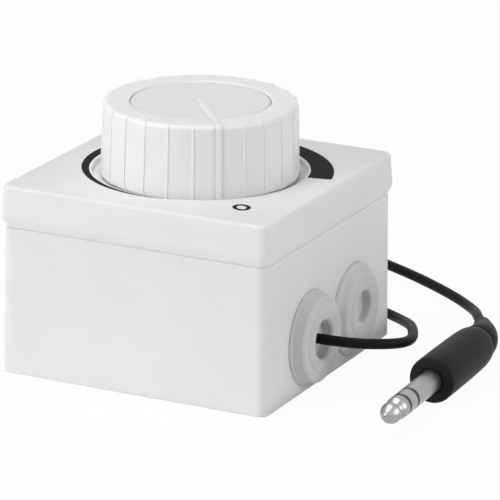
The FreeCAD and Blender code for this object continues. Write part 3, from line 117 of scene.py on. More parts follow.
class Value:
    """Number on a shader socket. Its operators add Math nodes."""

    def __init__(self, graph: "Graph", socket: bpy.types.NodeSocket) -> None:
        """Keeps the socket with the graph that it belongs to."""
        self.graph = graph
        self.socket = socket

    def _math(self, operation: str, *terms: "Term") -> "Value":
        """Math node over the terms.

        Args:
            operation: the Math node's operation.
            terms: numbers or values, in the order of its sockets.

        Returns:
            The node's result.
        """
        node = self.graph.node("ShaderNodeMath", {"operation": operation}, dict(enumerate(terms)))
        return Value(self.graph, node.outputs[0])

    def __add__(self, other: "Term") -> "Value":
        """Sum."""
        return self._math("ADD", self, other)

    def __radd__(self, other: "Term") -> "Value":
        """Reflected sum."""
        return self._math("ADD", other, self)

    def __sub__(self, other: "Term") -> "Value":
        """Difference."""
        return self._math("SUBTRACT", self, other)

    def __rsub__(self, other: "Term") -> "Value":
        """Reflected difference."""
        return self._math("SUBTRACT", other, self)

    def __mul__(self, other: "Term") -> "Value":
        """Product."""
        return self._math("MULTIPLY", self, other)

    def __rmul__(self, other: "Term") -> "Value":
        """Reflected product."""
        return self._math("MULTIPLY", other, self)

    def maximum(self, other: "Term") -> "Value":
        """Larger of the two."""
        return self._math("MAXIMUM", self, other)

    def sine(self) -> "Value":
        """Sine of an angle in radians."""
        return self._math("SINE", self)

    def wave(self) -> "Value":
        """Sine of an angle in radians, mapped onto 0 to 1."""
        return self.sine() * HALF + HALF

    def step(self, span: Range) -> "Value":
        """Smooth step from 0 at the span's start to 1 at its end."""
        node = self.graph.node("ShaderNodeMapRange", {"interpolation_type": "SMOOTHSTEP"},
                               {"Value": self, "From Min": span[0], "From Max": span[1]})
        return Value(self.graph, node.outputs["Result"])


Term = Value | float


class Graph:
    """Node graph of one material or of the world."""

    def __init__(self, owner: bpy.types.Material | bpy.types.World) -> None:
        """Clears the owner's nodes.

        Args:
            owner: the material or world.
        """
        owner.use_nodes = True
        self.tree = owner.node_tree
        self.tree.nodes.clear()

    def node(self, kind: str, settings: dict[str, Any] | None = None,
             sockets: dict[str | int, Any] | None = None) -> bpy.types.Node:
        """Adds one node.

        Args:
            kind: the node's type.
            settings: properties, set first.
            sockets: numbers, colours, values or sockets, by input name or index.

        Returns:
            The node.
        """
        node = self.tree.nodes.new(kind)
        for name, setting in (settings or {}).items():
            setattr(node, name, setting)
        for name, term in (sockets or {}).items():
            source = term.socket if isinstance(term, Value) else term
            if isinstance(source, bpy.types.NodeSocket):
                self.tree.links.new(source, node.inputs[name])
            else:
                node.inputs[name].default_value = source
        return node

    def place(self) -> bpy.types.NodeSocket:
        """Point on the surface in the object's own frame, in metres."""
        return self.node("ShaderNodeTexCoord").outputs["Object"]

    def noise(self, size: float, detail: float = 2.0, roughness: float = 0.5) -> Value:
        """Noise about 0.5.

        Args:
            size: size of its spots.
            detail: number of finer layers.
            roughness: strength of the finer layers.

        Returns:
            The noise.
        """
        node = self.node("ShaderNodeTexNoise", None, {
            "Vector": self.place(), "Scale": 1 / (size * MM), "Detail": detail,
            "Roughness": roughness})
        return Value(self, node.outputs["Fac"])

    def along(self, axis: Point) -> Value:
        """Distance along an axis from the frame's origin, in metres."""
        node = self.node("ShaderNodeVectorMath", {"operation": "DOT_PRODUCT"},
                         {0: self.place(), 1: axis})
        return Value(self, node.outputs["Value"])

    def mix(self, factor: Term, first: Colour | bpy.types.NodeSocket,
            second: Colour | bpy.types.NodeSocket) -> bpy.types.NodeSocket:
        """Colour between two colours.

        Args:
            factor: 0 for the first, 1 for the second.
            first: colour or socket.
            second: colour or socket.

        Returns:
            The mixed colour's socket.
        """
        node = self.node("ShaderNodeMix", {"data_type": "RGBA"},
                         {MIX_FACTOR: factor, MIX_FIRST: first, MIX_SECOND: second})
        return node.outputs[MIX_RESULT]

    def bump(self, height: Value, distance: float, strength: float = 1.0,
             normal: bpy.types.NodeSocket | None = None) -> bpy.types.NodeSocket:
        """Normal tilted by a height.

        Args:
            height: the height, about 0 to 1.
            distance: what a height of 1 stands for.
            strength: share that is used.
            normal: a normal to start from.

        Returns:
            The normal's socket.
        """
        sockets: dict[str | int, Any] = {
            "Height": height, "Distance": distance * MM, "Strength": strength}
        if normal is not None:
            sockets["Normal"] = normal
        return self.node("ShaderNodeBump", None, sockets).outputs["Normal"]

    def surface(self, sockets: dict[str | int, Any]) -> None:
        """Principled shader on the output."""
        shader = self.node("ShaderNodeBsdfPrincipled", None, sockets)
        self.node("ShaderNodeOutputMaterial", None, {"Surface": shader.outputs[0]})


def new_material(name: str) -> tuple[bpy.types.Material, Graph]:
    """Empty material with its graph."""
    material = bpy.data.materials.new(name)
    return material, Graph(material)


# Finishes


class Stuff(Enum):
    """What a moulding is made of."""

    PLASTIC = "plastic"
    RUBBER = "rubber"           # soft and dusty


@dataclass(frozen=True)
class Moulding:
    """Moulded plastic or rubber."""

    name: str
    colour: Colour
    roughness: float
    stuff: Stuff = Stuff.PLASTIC
    grain: float = 0.25                         # size of the mould's grain
    depth: float = 0.006                        # depth of the grain
    mottling: float = 0.010                     # share by which the colour wanders
    specular: float = 0.5
    glow: float = 0.0                           # share of the light that wanders under the surface
    glow_reach: float = 1.2                     # how far it wanders
    grain_gloss: float = 0.12                   # how much the grain changes the roughness
    cloud: float = 14.0                         # size of the patches in colour and roughness
    cloud_span: Range = (0.35, 0.65)            # values of the noise between which they blend
    cloud_gloss: float = 0.06                   # how much the patches change the roughness
    sink: float = 9.0                           # size of the slight sinks of a moulded face
    sink_depth: float = 0.02
    sink_strength: float = 0.12
    dust: float = 0.8                           # size of the specks of dust on rubber
    dust_span: Range = (0.56, 0.72)
    dust_share: float = 0.25
    dust_shade: float = 1.18
    dust_gloss: float = 0.1

    def material(self) -> bpy.types.Material:
        """Makes the material.

        Returns:
            The material.
        """
        material, graph = new_material(self.name)
        clouds = graph.noise(self.cloud, detail=3.0)
        fine = graph.noise(self.grain, roughness=0.6)
        sinks = graph.noise(self.sink, detail=1.0)
        base = graph.mix(clouds.step(self.cloud_span), shade(self.colour, 1 - self.mottling),
                         shade(self.colour, 1 + self.mottling / 2))
        roughness = (self.roughness + (clouds - HALF) * self.cloud_gloss
                     + (fine - HALF) * self.grain_gloss)
        normal = graph.bump(sinks, self.sink_depth, self.sink_strength)
        normal = graph.bump(fine, self.depth, normal=normal)
        if self.stuff is Stuff.RUBBER:
            dust = graph.noise(self.dust, detail=4.0, roughness=0.7).step(self.dust_span)
            base = graph.mix(dust * self.dust_share, base, shade(self.colour, self.dust_shade))
            roughness = roughness + dust * self.dust_gloss
        graph.surface({
            "Base Color": base, "Roughness": roughness, "Normal": normal,
            "Specular IOR Level": self.specular, "Subsurface Weight": self.glow,
            "Subsurface Radius": (1.0, 1.0, 1.0), "Subsurface Scale": self.glow_reach * MM})
        return material


@dataclass(frozen=True)
class Metalwork:
    """Turned, rolled or plated metal."""

    name: str
    colour: Colour
    roughness: float
    axis: Point = (0.0, 0.0, 1.0)               # the marks of turning run round it
    pitch: float = 0.22                         # distance between the marks
    depth: float = 0.003
    mark_strength: float = 0.8
    mark_gloss: float = 0.05                    # how much the marks change the roughness
    mark_wander: float = 3.0                    # how far the spots push them, in radians
    spot: float = 3.0                           # size of the spots of tarnish
    spot_span: Range = (0.48, 0.72)
    spot_gloss: float = 0.14
    tarnish: float = 0.15                       # share of the tarnish in the colour
    tarnish_shade: float = 0.55

    def material(self) -> bpy.types.Material:
        """Makes the material.

        Returns:
            The material.
        """
        material, graph = new_material(self.name)
        spots = graph.noise(self.spot, detail=4.0, roughness=0.6)
        turns = graph.along(self.axis) * (2 * math.pi / (self.pitch * MM))
        marks = (turns + spots * self.mark_wander).wave()
        stain = spots.step(self.spot_span)
        base = graph.mix(stain * self.tarnish, self.colour, shade(self.colour, self.tarnish_shade))
        roughness = self.roughness + stain * self.spot_gloss + marks * self.mark_gloss
        graph.surface({
            "Base Color": base, "Metallic": 1.0, "Roughness": roughness,
            "Normal": graph.bump(marks, self.depth, self.mark_strength)})
        return material


@dataclass(frozen=True)
class Laminate:
    """Circuit board laminate with a woven ground."""

    name: str
    colour: Colour
    roughness: float = 0.35
    pitch: float = 0.5                          # of the weave
    depth: float = 0.01
    strength: float = 0.6
    weave_share: float = 0.35                   # share of the lighter tone in the weave
    lacquer: float = 2.5                        # size of the patches in the lacquer
    lacquer_share: float = 0.3
    lacquer_gloss: float = 0.15
    light_shade: float = 1.7

    def material(self) -> bpy.types.Material:
        """Makes the material.

        Returns:
            The material.
        """
        material, graph = new_material(self.name)
        turn = 2 * math.pi / (self.pitch * MM)
        warp, weft = [(graph.along(axis) * turn).sine() for axis in ((1, 0, 0), (0, 1, 0))]
        weave = warp * weft * HALF + HALF
        lacquer = graph.noise(self.lacquer, detail=3.0)
        base = graph.mix(weave * self.weave_share + lacquer * self.lacquer_share, self.colour,
                         shade(self.colour, self.light_shade))
        graph.surface({
            "Base Color": base, "Roughness": self.roughness + lacquer * self.lacquer_gloss,
            "Normal": graph.bump(weave, self.depth, self.strength)})
        return material


@dataclass(frozen=True)
class Ink:
    """Pad-printed ink."""

    name: str
    colour: Colour
    roughness: float = 0.42
    specular: float = 0.02
    film: float = 0.5                           # size of the film's unevenness
    film_span: Range = (0.3, 0.75)
    film_shade: float = 1.25
    film_gloss: float = 0.2
    depth: float = 0.004
    strength: float = 0.8

    def material(self) -> bpy.types.Material:
        """Makes the material.

        Returns:
            The material.
        """
        material, graph = new_material(self.name)
        film = graph.noise(self.film, detail=4.0, roughness=0.7)
        base = graph.mix(film.step(self.film_span), self.colour,
                         shade(self.colour, self.film_shade))
        graph.surface({
            "Base Color": base, "Roughness": self.roughness + film * self.film_gloss,
            "Normal": graph.bump(film, self.depth, self.strength),
            "Specular IOR Level": self.specular})
        return material


PLUG_TURN = 2.0                 # of the plug's axis from the X axis
PIN_AXIS: Point = (math.cos(math.radians(PLUG_TURN)), math.sin(math.radians(PLUG_TURN)), 0.0)

Finish = Moulding | Metalwork | Laminate

FINISHES: dict[str, Finish] = {
    "housing_white": Moulding(
        "housing_white_plastic", srgb("EEEFEF"), roughness=0.50, specular=0.45, glow=0.3),
    "knob_white": Moulding(
        "knob_white_plastic", srgb("F6F6F5"), roughness=0.40, grain=0.4, depth=0.003, glow=0.6),
    "cap_white": Moulding(
        "cap_white_plastic", srgb("EEEEEC"), roughness=0.44, grain=0.3, depth=0.004, glow=0.4),
    "pointer_white": Moulding(
        "pointer_white_plastic", srgb("F7F7F6"), roughness=0.34, grain=0.4, depth=0.002),
    "grommet_grey": Moulding(
        "grommet_grey_rubber", srgb("DFE0E0"), roughness=0.70, stuff=Stuff.RUBBER, grain=0.35,
        depth=0.010, mottling=0.06, specular=0.3, glow=0.4),
    "zinc_steel": Metalwork("zinc_plated_steel", srgb("C9CBCC"), roughness=0.32, pitch=0.5),
    "nickel_brass": Metalwork("nickelled_brass", srgb("CFCCC4"), roughness=0.24),
    "shaft_aluminium": Metalwork("turned_aluminium", srgb("D6D8DA"), roughness=0.28, pitch=0.3),
    "insert_black": Moulding("insert_black_plastic", srgb("1C1D1E"), roughness=0.45),
    "inner_white": Moulding("inner_white_plastic", srgb("D9DAD6"), roughness=0.55),
    "board_green": Laminate("board_green_laminate", srgb("2E6B45")),
    "track_brown": Moulding("track_brown_laminate", srgb("5A3B26"), roughness=0.5),
    "contact_brass": Metalwork(
        "contact_brass", srgb("D8B56A"), roughness=0.25, axis=(1.0, 0.0, 0.0)),
    "wire_white": Moulding("wire_white_sheath", srgb("E3E3E0"), roughness=0.45),
    "cord_black": Moulding(
        "lead_black_sheath", srgb("1B1C1D"), roughness=0.48, grain=0.3, mottling=0.10,
        specular=0.05),
    "plug_black": Moulding(
        "plug_black_plastic", srgb("232425"), roughness=0.50, grain=0.3, depth=0.010,
        mottling=0.12, specular=0.07),
    "plug_nickel": Metalwork(
        "plug_bright_nickel", srgb("A4A4A3"), roughness=0.30, axis=PIN_AXIS, pitch=0.6,
        depth=0.0008),
    "insulator_black": Moulding("insulator_black_ring", srgb("17181A"), roughness=0.4),
}


class Finishes:
    """Materials by the record's slot names, each made once."""

    def __init__(self) -> None:
        """Starts with no material made."""
        self._made: dict[str, bpy.types.Material] = {}

    def get(self, slot: str) -> bpy.types.Material:
        """Material of a slot.

        Args:
            slot: name of the slot in the record.

        Returns:
            The material.
        """
        if slot not in self._made:
            self._made[slot] = FINISHES[slot].material()
        return self._made[slot]

    def dress(self, obj: bpy.types.Object, slot: str) -> bpy.types.Object:
        """Gives an object the slot's material.

        Args:
            obj: a CAD node's object or a new piece.
            slot: name of the slot in the record.

        Returns:
            The object.
        """
        obj.data.materials.clear()
        obj.data.materials.append(self.get(slot))
        return obj


# Objects


def linked(name: str, data: bpy.types.ID) -> bpy.types.Object:
    """Object linked to the scene.

    Args:
        name: name of the object.
        data: its mesh, curve, light or camera.

    Returns:
        The object.
    """
    obj = bpy.data.objects.new(name, data)
    bpy.context.scene.collection.objects.link(obj)
    return obj


def new_object(name: str, mesh: bmesh.types.BMesh,
               smooth_angle: float | None) -> bpy.types.Object:
    """Object from a mesh in the CAD frame.

    Args:
        name: name of the piece.
        mesh: the mesh, which is freed.
        smooth_angle: edges below this angle are shaded smooth, none where it is None.

    Returns:
        The object, linked to the scene.
    """
    data = bpy.data.meshes.new(name)
    bmesh.ops.recalc_face_normals(mesh, faces=mesh.faces)
    if smooth_angle is not None:
        limit = math.radians(smooth_angle)
        for face in mesh.faces:
            face.smooth = True
        for edge in mesh.edges:
            edge.smooth = len(edge.link_faces) == 2 and edge.calc_face_angle(0.0) < limit
    mesh.to_mesh(data)
    mesh.free()
    return linked(name, data)


def swept(name: str, stations: Sequence[Station], sides: int = 64,
          smooth_angle: float = 40.0) -> bpy.types.Object:
    """Skin over round sections, closed at both ends.

    Args:
        name: name of the piece.
        stations: the sections in order. A radius of 0 is a point.
        sides: number of vertices of a section.
        smooth_angle: edges below this angle are shaded smooth.

    Returns:
        The object.
    """
    mesh = bmesh.new()
    rows = []
    for middle, direction, radius in stations:
        side = direction.cross(UP).normalized()
        rise = side.cross(direction)
        turns = [2 * math.pi * index / sides for index in range(sides)] if radius else [0.0]
        rows.append([
            mesh.verts.new((middle + (side * math.cos(turn) + rise * math.sin(turn)) * radius) * MM)
            for turn in turns])
    for before, after in zip(rows, rows[1:]):
        for index in range(sides):
            corners = [before[index % len(before)], before[(index + 1) % len(before)],
                       after[(index + 1) % len(after)], after[index % len(after)]]
            mesh.faces.new(list(dict.fromkeys(corners)))
    for row in (rows[0], rows[-1]):
        if len(row) > 1:
            mesh.faces.new(row)
    return new_object(name, mesh, smooth_angle)


# Studio


@dataclass(frozen=True)
class SoftLight:
    """Square soft light."""

    name: str
    place: Point
    aim: Point                  # point that it faces
    side: float                 # its length
    power: float                # watts


@dataclass
class Studio:
    """Camera at the photograph's angle, soft lights, floor and white surroundings."""

    camera_place: Point = (-1006.4, -508.2, 390.9)
    azimuth: float = -63.924
    elevation: float = 17.753
    roll: float = 0.745
    focal_pixels: float = 4262.66   # focal length in pixels of the photograph
    nearest: float = 50.0           # the camera sees from here
    furthest: float = 20000.0       # to here
    lights: tuple[SoftLight, ...] = (
        SoftLight("lamp_left", (-1100, 750, 450), aim=(0, 0, 30), side=900, power=10.7),
        SoftLight("lamp_top", (-150, 250, 1300), aim=(0, 0, 40), side=900, power=9.0),
        SoftLight("lamp_front", (150, -1300, 500), aim=(0, 0, 30), side=800, power=7.6))
    floor_side: float = 6000.0
    floor_drop: float = 0.02        # of the floor below the object's underside
    floor_tones: tuple[str, str] = ("F6F6F6", "F8F8F8")
    floor_patch: float = 30.0       # size of the patches in the two tones
    floor_white: float = 0.95       # share of plain white where it is seen, the rest has the shadow
    ambient: float = 0.06           # strength of the light from all round

    def build(self) -> None:
        """Makes everything that isn't part of the object."""
        self._camera()
        for light in self.lights:
            self._lamp(light)
        self._floor()
        self._world()

    def _camera(self) -> None:
        """Camera from the fitted angles, without shift."""
        data = bpy.data.cameras.new("camera")
        data.sensor_width = SENSOR
        data.lens = SENSOR * self.focal_pixels / IMAGE_SIDE
        data.clip_start = self.nearest * MM
        data.clip_end = self.furthest * MM
        camera = linked("camera", data)
        turn, rise, lean = (math.radians(part)
                            for part in (self.azimuth, self.elevation, self.roll))
        back = Vector((math.sin(turn) * math.cos(rise), -math.cos(turn) * math.cos(rise),
                       math.sin(rise)))
        right = Vector((math.cos(turn), math.sin(turn), 0.0))
        up = back.cross(right)
        tilted_right = right * math.cos(lean) + up * math.sin(lean)
        tilted_up = up * math.cos(lean) - right * math.sin(lean)
        camera.matrix_world = Matrix.Translation(Vector(self.camera_place) * MM) @ Matrix(
            (tilted_right, tilted_up, back)).transposed().to_4x4()
        bpy.context.scene.camera = camera

    def _lamp(self, light: SoftLight) -> None:
        """Adds one light.

        Args:
            light: the light.
        """
        data = bpy.data.lights.new(light.name, "AREA")
        data.shape = "SQUARE"
        data.size = light.side * MM
        data.energy = light.power
        lamp = linked(light.name, data)
        lamp.location = Vector(light.place) * MM
        lamp.rotation_mode = "QUATERNION"
        direction = (Vector(light.aim) - Vector(light.place)).normalized()
        lamp.rotation_quaternion = direction.to_track_quat("-Z", "Y")

    def _floor(self) -> None:
        """White floor that keeps the object's shadow."""
        mesh = bmesh.new()
        bmesh.ops.create_grid(mesh, x_segments=1, y_segments=1, size=self.floor_side / 2 * MM)
        floor = new_object("studio_floor", mesh, None)
        floor.location.z = -self.floor_drop * MM
        material, graph = new_material("studio_floor_white")
        colour = graph.mix(graph.noise(self.floor_patch), *map(srgb, self.floor_tones))
        matt = graph.node("ShaderNodeBsdfDiffuse", None, {"Color": colour})
        glow = graph.node("ShaderNodeEmission", None, {"Color": WHITE, "Strength": 1.0})
        blend = graph.node("ShaderNodeMixShader", None, {
            0: self._seen(graph) * self.floor_white, 1: matt.outputs[0], 2: glow.outputs[0]})
        graph.node("ShaderNodeOutputMaterial", None, {"Surface": blend.outputs[0]})
        floor.data.materials.append(material)

    def _seen(self, graph: Graph) -> Value:
        """1 for rays that show the surroundings as such.

        Args:
            graph: the graph that asks.

        Returns:
            1 for camera, glossy and transmission rays, else 0.
        """
        path = graph.node("ShaderNodeLightPath")
        camera, glossy, through = [
            Value(graph, path.outputs[name])
            for name in ("Is Camera Ray", "Is Glossy Ray", "Is Transmission Ray")]
        return camera.maximum(glossy).maximum(through)

    def _world(self) -> None:
        """Even soft light, white where it is seen."""
        world = bpy.data.worlds.new("studio_world")
        bpy.context.scene.world = world
        graph = Graph(world)
        strength = self.ambient + self._seen(graph) * (1 - self.ambient)
        background = graph.node("ShaderNodeBackground", None,
                                {"Color": WHITE, "Strength": strength})
        graph.node("ShaderNodeOutputWorld", None, {"Surface": background.outputs[0]})


# Sub-assemblies


@dataclass
class Plug:
    """Three-contact jack plug: moulded grip with its strain relief, and the pin."""

    face: Point = (-8.7, -74.9, 6.5)            # middle of the grip's front
    grip: Profile = (                           # behind the front
        (0.4, 0.0), (0.4, 3.5), (0.0, 3.8), (0.0, 5.5), (0.06, 5.9), (0.25, 6.22), (0.55, 6.42),
        (0.9, 6.5), (8.0, 6.5), (14.0, 6.47), (20.0, 6.42), (25.0, 6.33), (28.5, 6.2),
        (30.5, 6.02), (31.8, 5.8), (32.6, 5.55), (33.1, 5.25), (33.25, 5.0), (33.3, 4.7),
        (33.3, 0.0))
    relief_start: float = 33.0
    relief_length: float = 19.0
    relief_bend: float = 33.0
    relief_radii: tuple[float, ...] = (
        4.6, 4.95, 5.02, 4.9, 4.68, 4.4, 4.1, 3.8, 3.5, 3.2, 2.92, 2.7, 2.58, 2.2)
    pin_radius: float = 3.175
    sleeve_root: float = 0.4                    # how far the sleeve reaches into the grip
    contact_edge: float = 0.1                   # size of the broken edges
    insulators: tuple[Range, ...] = ((15.45, 16.95), (21.0, 22.4))  # start and end on the pin
    insulator_edge: float = 0.03
    tip: Profile = (                            # before the front
        (22.4, 0.0), (22.4, 3.05), (22.5, 3.175), (24.2, 3.175), (24.6, 3.1), (25.1, 2.8),
        (25.6, 2.36), (26.0, 2.06), (26.3, 1.96), (26.6, 2.02), (26.95, 2.3), (27.3, 2.66),
        (27.7, 2.88), (28.1, 2.95), (28.6, 2.92), (29.1, 2.78), (29.7, 2.5), (30.3, 2.1),
        (30.8, 1.66), (31.2, 1.24), (31.5, 0.9), (31.65, 0.68), (31.7, 0.5), (31.6, 0.38),
        (31.3, 0.3), (31.2, 0.0))

    def build(self, finishes: Finishes) -> list[bpy.types.Object]:
        """Makes the grip, its strain relief and the contacts of the pin.

        Args:
            finishes: the materials.

        Returns:
            The pieces that lie on the lead.
        """
        pieces = []
        (rear_start, rear_end), (front_start, front_end) = self.insulators
        for name, node, slot, stations in (
                ("plug_grip", "plug_body", "plug_black", self._turned(self.grip, 1.0)),
                ("plug_strain_relief", "plug_neck", "cord_black", self._relief()),
                ("plug_sleeve_contact", "plug_sleeve", "plug_nickel",
                 self._ring(-self.sleeve_root, rear_start, self.contact_edge)),
                ("plug_rear_insulator", "plug_insulators", "insulator_black",
                 self._ring(rear_start, rear_end, self.insulator_edge)),
                ("plug_ring_contact", "plug_ring", "plug_nickel",
                 self._ring(rear_end, front_start, self.contact_edge)),
                ("plug_front_insulator", "plug_insulators", "insulator_black",
                 self._ring(front_start, front_end, self.insulator_edge)),
                ("plug_tip_contact", "plug_tip", "plug_nickel", self._turned(self.tip, -1.0))):
            piece = finishes.dress(swept(name, stations), slot)
            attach(piece, "root")
            pieces.append(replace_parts(piece, node))
        return pieces

    def _ring(self, start: float, end: float, edge: float) -> list[Station]:
        """Sections of a plain length of the pin with broken edges.

        Args:
            start: its place before the grip's front.
            end: where it ends.
            edge: size of the broken edges.

        Returns:
            The sections.
        """
        low = self.pin_radius - edge
        return self._turned(((start, 0.0), (start, low), (start + edge, self.pin_radius),
                             (end - edge, self.pin_radius), (end, low), (end, 0.0)), -1.0)

    def _turned(self, profile: Profile, sense: float) -> list[Station]:
        """Sections of a turned form on the plug's axis.

        Args:
            profile: place and radius of each section.
            sense: 1 for places behind the grip's front, -1 for places before it.

        Returns:
            The sections.
        """
        axis = Vector(PIN_AXIS)
        return [(Vector(self.face) + axis * (place * sense), axis, radius)
                for place, radius in profile]

    def _relief(self) -> list[Station]:
        """Sections of the curved strain relief.

        Returns:
            The sections, with a point at each end to close it.
        """
        radius = self.relief_length / math.radians(self.relief_bend)
        axis, side = Vector(PIN_AXIS), Vector((-PIN_AXIS[1], PIN_AXIS[0], 0.0))
        start = Vector(self.face) + axis * self.relief_start
        stations: list[Station] = [(start, axis, 0.0)]
        for index, section in enumerate(self.relief_radii):
            turn = math.radians(self.relief_bend) * index / (len(self.relief_radii) - 1)
            middle = (start + axis * (radius * math.sin(turn))
                      + side * (radius * (1 - math.cos(turn))))
            direction = axis * math.cos(turn) + side * math.sin(turn)
            stations.append((middle, direction, section))
        return stations + [(stations[-1][0], stations[-1][1], 0.0)]


@dataclass
class JackLead:
    """Free lead from the grommet to the jack plug."""

    diameter: float = 2.9
    length: float = 291.0
    exit_place: Point = (-12.6, -41.53, 14.6)
    route: tuple[Point, ...] = (                # handles of the spline, from the grommet on
        (-12.6, -41.53, 14.6), (-12.6, -51.0, 14.6), (-6.3, -60.4, 13.8), (4.4, -63.5, 12.0),
        (21.7, -55.9, 9.7), (44.6, -43.3, 2.5), (54.2, -30.3, 1.45), (61.5, -8.0, 1.45),
        (66.0, 12.0, 1.45), (73.5, 24.0, 1.45), (87.0, 28.5, 1.45), (99.5, 21.5, 1.45),
        (103.0, 7.5, 1.45), (96.5, -9.0, 1.45), (87.0, -27.4, 1.45), (75.2, -45.2, 1.45),
        (62.9, -57.2, 2.4), (47.03, -64.64, 6.5), (42.11, -68.08, 6.5))
    round_steps: int = 6
    length_steps: int = 16                      # between two handles

    def build(self, finishes: Finishes) -> list[bpy.types.Object]:
        """Makes the lead with its plug.

        Args:
            finishes: the materials.

        Returns:
            The pieces.
        """
        lead = self._curve()
        finishes.dress(lead, "cord_black")
        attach(lead, "root")
        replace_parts(lead, "cord")
        plug = Plug().build(finishes)
        return [lead, *plug]

    def _curve(self) -> bpy.types.Object:
        """Round sheath along the route.

        Returns:
            The curve object.
        """
        data = bpy.data.curves.new("lead_sheath", "CURVE")
        data.dimensions = "3D"
        data.bevel_depth = self.diameter / 2 * MM
        data.bevel_resolution = self.round_steps
        data.resolution_u = self.length_steps
        data.use_fill_caps = True
        spline = data.splines.new("NURBS")
        spline.points.add(len(self.route) - 1)
        for point, place in zip(spline.points, self.route):
            point.co = (*(part * MM for part in place), 1.0)
        spline.order_u = 3
        spline.use_endpoint_u = True
        spline.use_smooth = True
        return linked("lead_sheath", data)


@dataclass
class CadAssembly:
    """Sub-assembly that shows pieces of the CAD, which only need their finishes."""

    slots: tuple[tuple[str, str], ...] = ()     # node, and name of its slot in the record

    def build(self, finishes: Finishes) -> list[bpy.types.Object]:
        """Dresses the nodes and gives them back."""
        return [finishes.dress(frame["nodes"][name], slot) for name, slot in self.slots]


@dataclass
class Housing(CadAssembly):
    """Surface box and cover, with the scale and the off mark printed on the cover."""

    slots: tuple[tuple[str, str], ...] = (
        ("back_box", "housing_white"), ("cover_frame", "housing_white"))
    ink: Ink = Ink("scale_black_ink", srgb("1A1C1B"))
    face: float = 53.5              # height of the cover's face
    film: float = 0.02              # thickness of the ink
    film_smoothing: float = 20.0    # edges of the film below this angle are shaded smooth
    scale_inner: float = 30.6
    scale_outer: float = 37.3
    scale_thin: float = 0.05        # width of the thin end
    scale_start: float = 193.0      # thin end
    scale_end: float = -78.5        # wide end
    scale_steps: int = 180
    scale_power: float = 0.92       # of the width's growth
    zero_radius: float = 38.0       # of the numeral's middle
    zero_angle: float = 224.0
    zero_width: float = 4.9
    zero_height: float = 5.7
    zero_stroke: float = 1.15
    zero_steps: int = 64

    def build(self, finishes: Finishes) -> list[bpy.types.Object]:
        """Dresses the mouldings and prints the marks.

        Args:
            finishes: the materials.

        Returns:
            The pieces.
        """
        pieces = super().build(finishes)
        ink = self.ink.material()
        for piece in (self._scale(), self._zero()):
            piece.data.materials.append(ink)
            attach(piece, "root")
            pieces.append(piece)
        return pieces

    def _film(self, name: str, inner: Sequence[Vector], outer: Sequence[Vector],
              closed: bool) -> bpy.types.Object:
        """Thin sheet of ink between two rows of points on the face.

        Args:
            name: name of the piece.
            inner: points of one edge.
            outer: points of the other edge, as many.
            closed: whether the rows run round.

        Returns:
            The object.
        """
        mesh = bmesh.new()
        lift = Vector((0, 0, self.film * MM))
        inner_low, inner_high, outer_low, outer_high = [
            [mesh.verts.new(point + shift) for point in row]
            for row in (inner, outer) for shift in (Vector(), lift)]
        count = len(inner)
        for index in range(count if closed else count - 1):
            after = (index + 1) % count
            for corners in (
                    (inner_high[index], outer_high[index], outer_high[after], inner_high[after]),
                    (inner_low[index], inner_low[after], outer_low[after], outer_low[index]),
                    (outer_low[index], outer_low[after], outer_high[after], outer_high[index]),
                    (inner_low[index], inner_high[index], inner_high[after], inner_low[after])):
                mesh.faces.new(corners)
        if not closed:
            for index in (0, count - 1):
                mesh.faces.new((inner_low[index], outer_low[index],
                                outer_high[index], inner_high[index]))
        return new_object(name, mesh, self.film_smoothing)

    def _scale(self) -> bpy.types.Object:
        """Crescent that widens clockwise round the knob.

        Returns:
            The printed piece.
        """
        inner, outer = [], []
        growth = self.scale_outer - self.scale_inner - self.scale_thin
        for index in range(self.scale_steps + 1):
            part = index / self.scale_steps
            angle = self.scale_start + (self.scale_end - self.scale_start) * part
            width = self.scale_thin + growth * part ** self.scale_power
            inner.append(polar(self.scale_inner, angle, self.face))
            outer.append(polar(self.scale_inner + width, angle, self.face))
        return self._film("printed_scale", inner, outer, False)

    def _zero(self) -> bpy.types.Object:
        """Plain numeral for the off position, upright along the radius.

        Returns:
            The printed piece.
        """
        centre = polar(self.zero_radius, self.zero_angle, self.face)
        radial = polar(1.0, self.zero_angle, 0.0)
        across = polar(1.0, self.zero_angle + 90, 0.0)
        inner, outer = [], []
        for index in range(self.zero_steps):
            turn = 2 * math.pi * index / self.zero_steps
            for row, cut in ((inner, self.zero_stroke), (outer, 0.0)):
                row.append(centre + across * (self.zero_width / 2 - cut) * math.cos(turn)
                           + radial * (self.zero_height / 2 - cut) * math.sin(turn))
        return self._film("printed_zero", inner, outer, True)


@dataclass
class Knob(CadAssembly):
    """Ribbed knob with its cap, its pointer and the clip that holds it on the shaft."""

    slots: tuple[tuple[str, str], ...] = (
        ("knob_shell", "knob_white"), ("knob_cap", "cap_white"),
        ("knob_pointer", "pointer_white"), ("knob_spring_clip", "zinc_steel"))


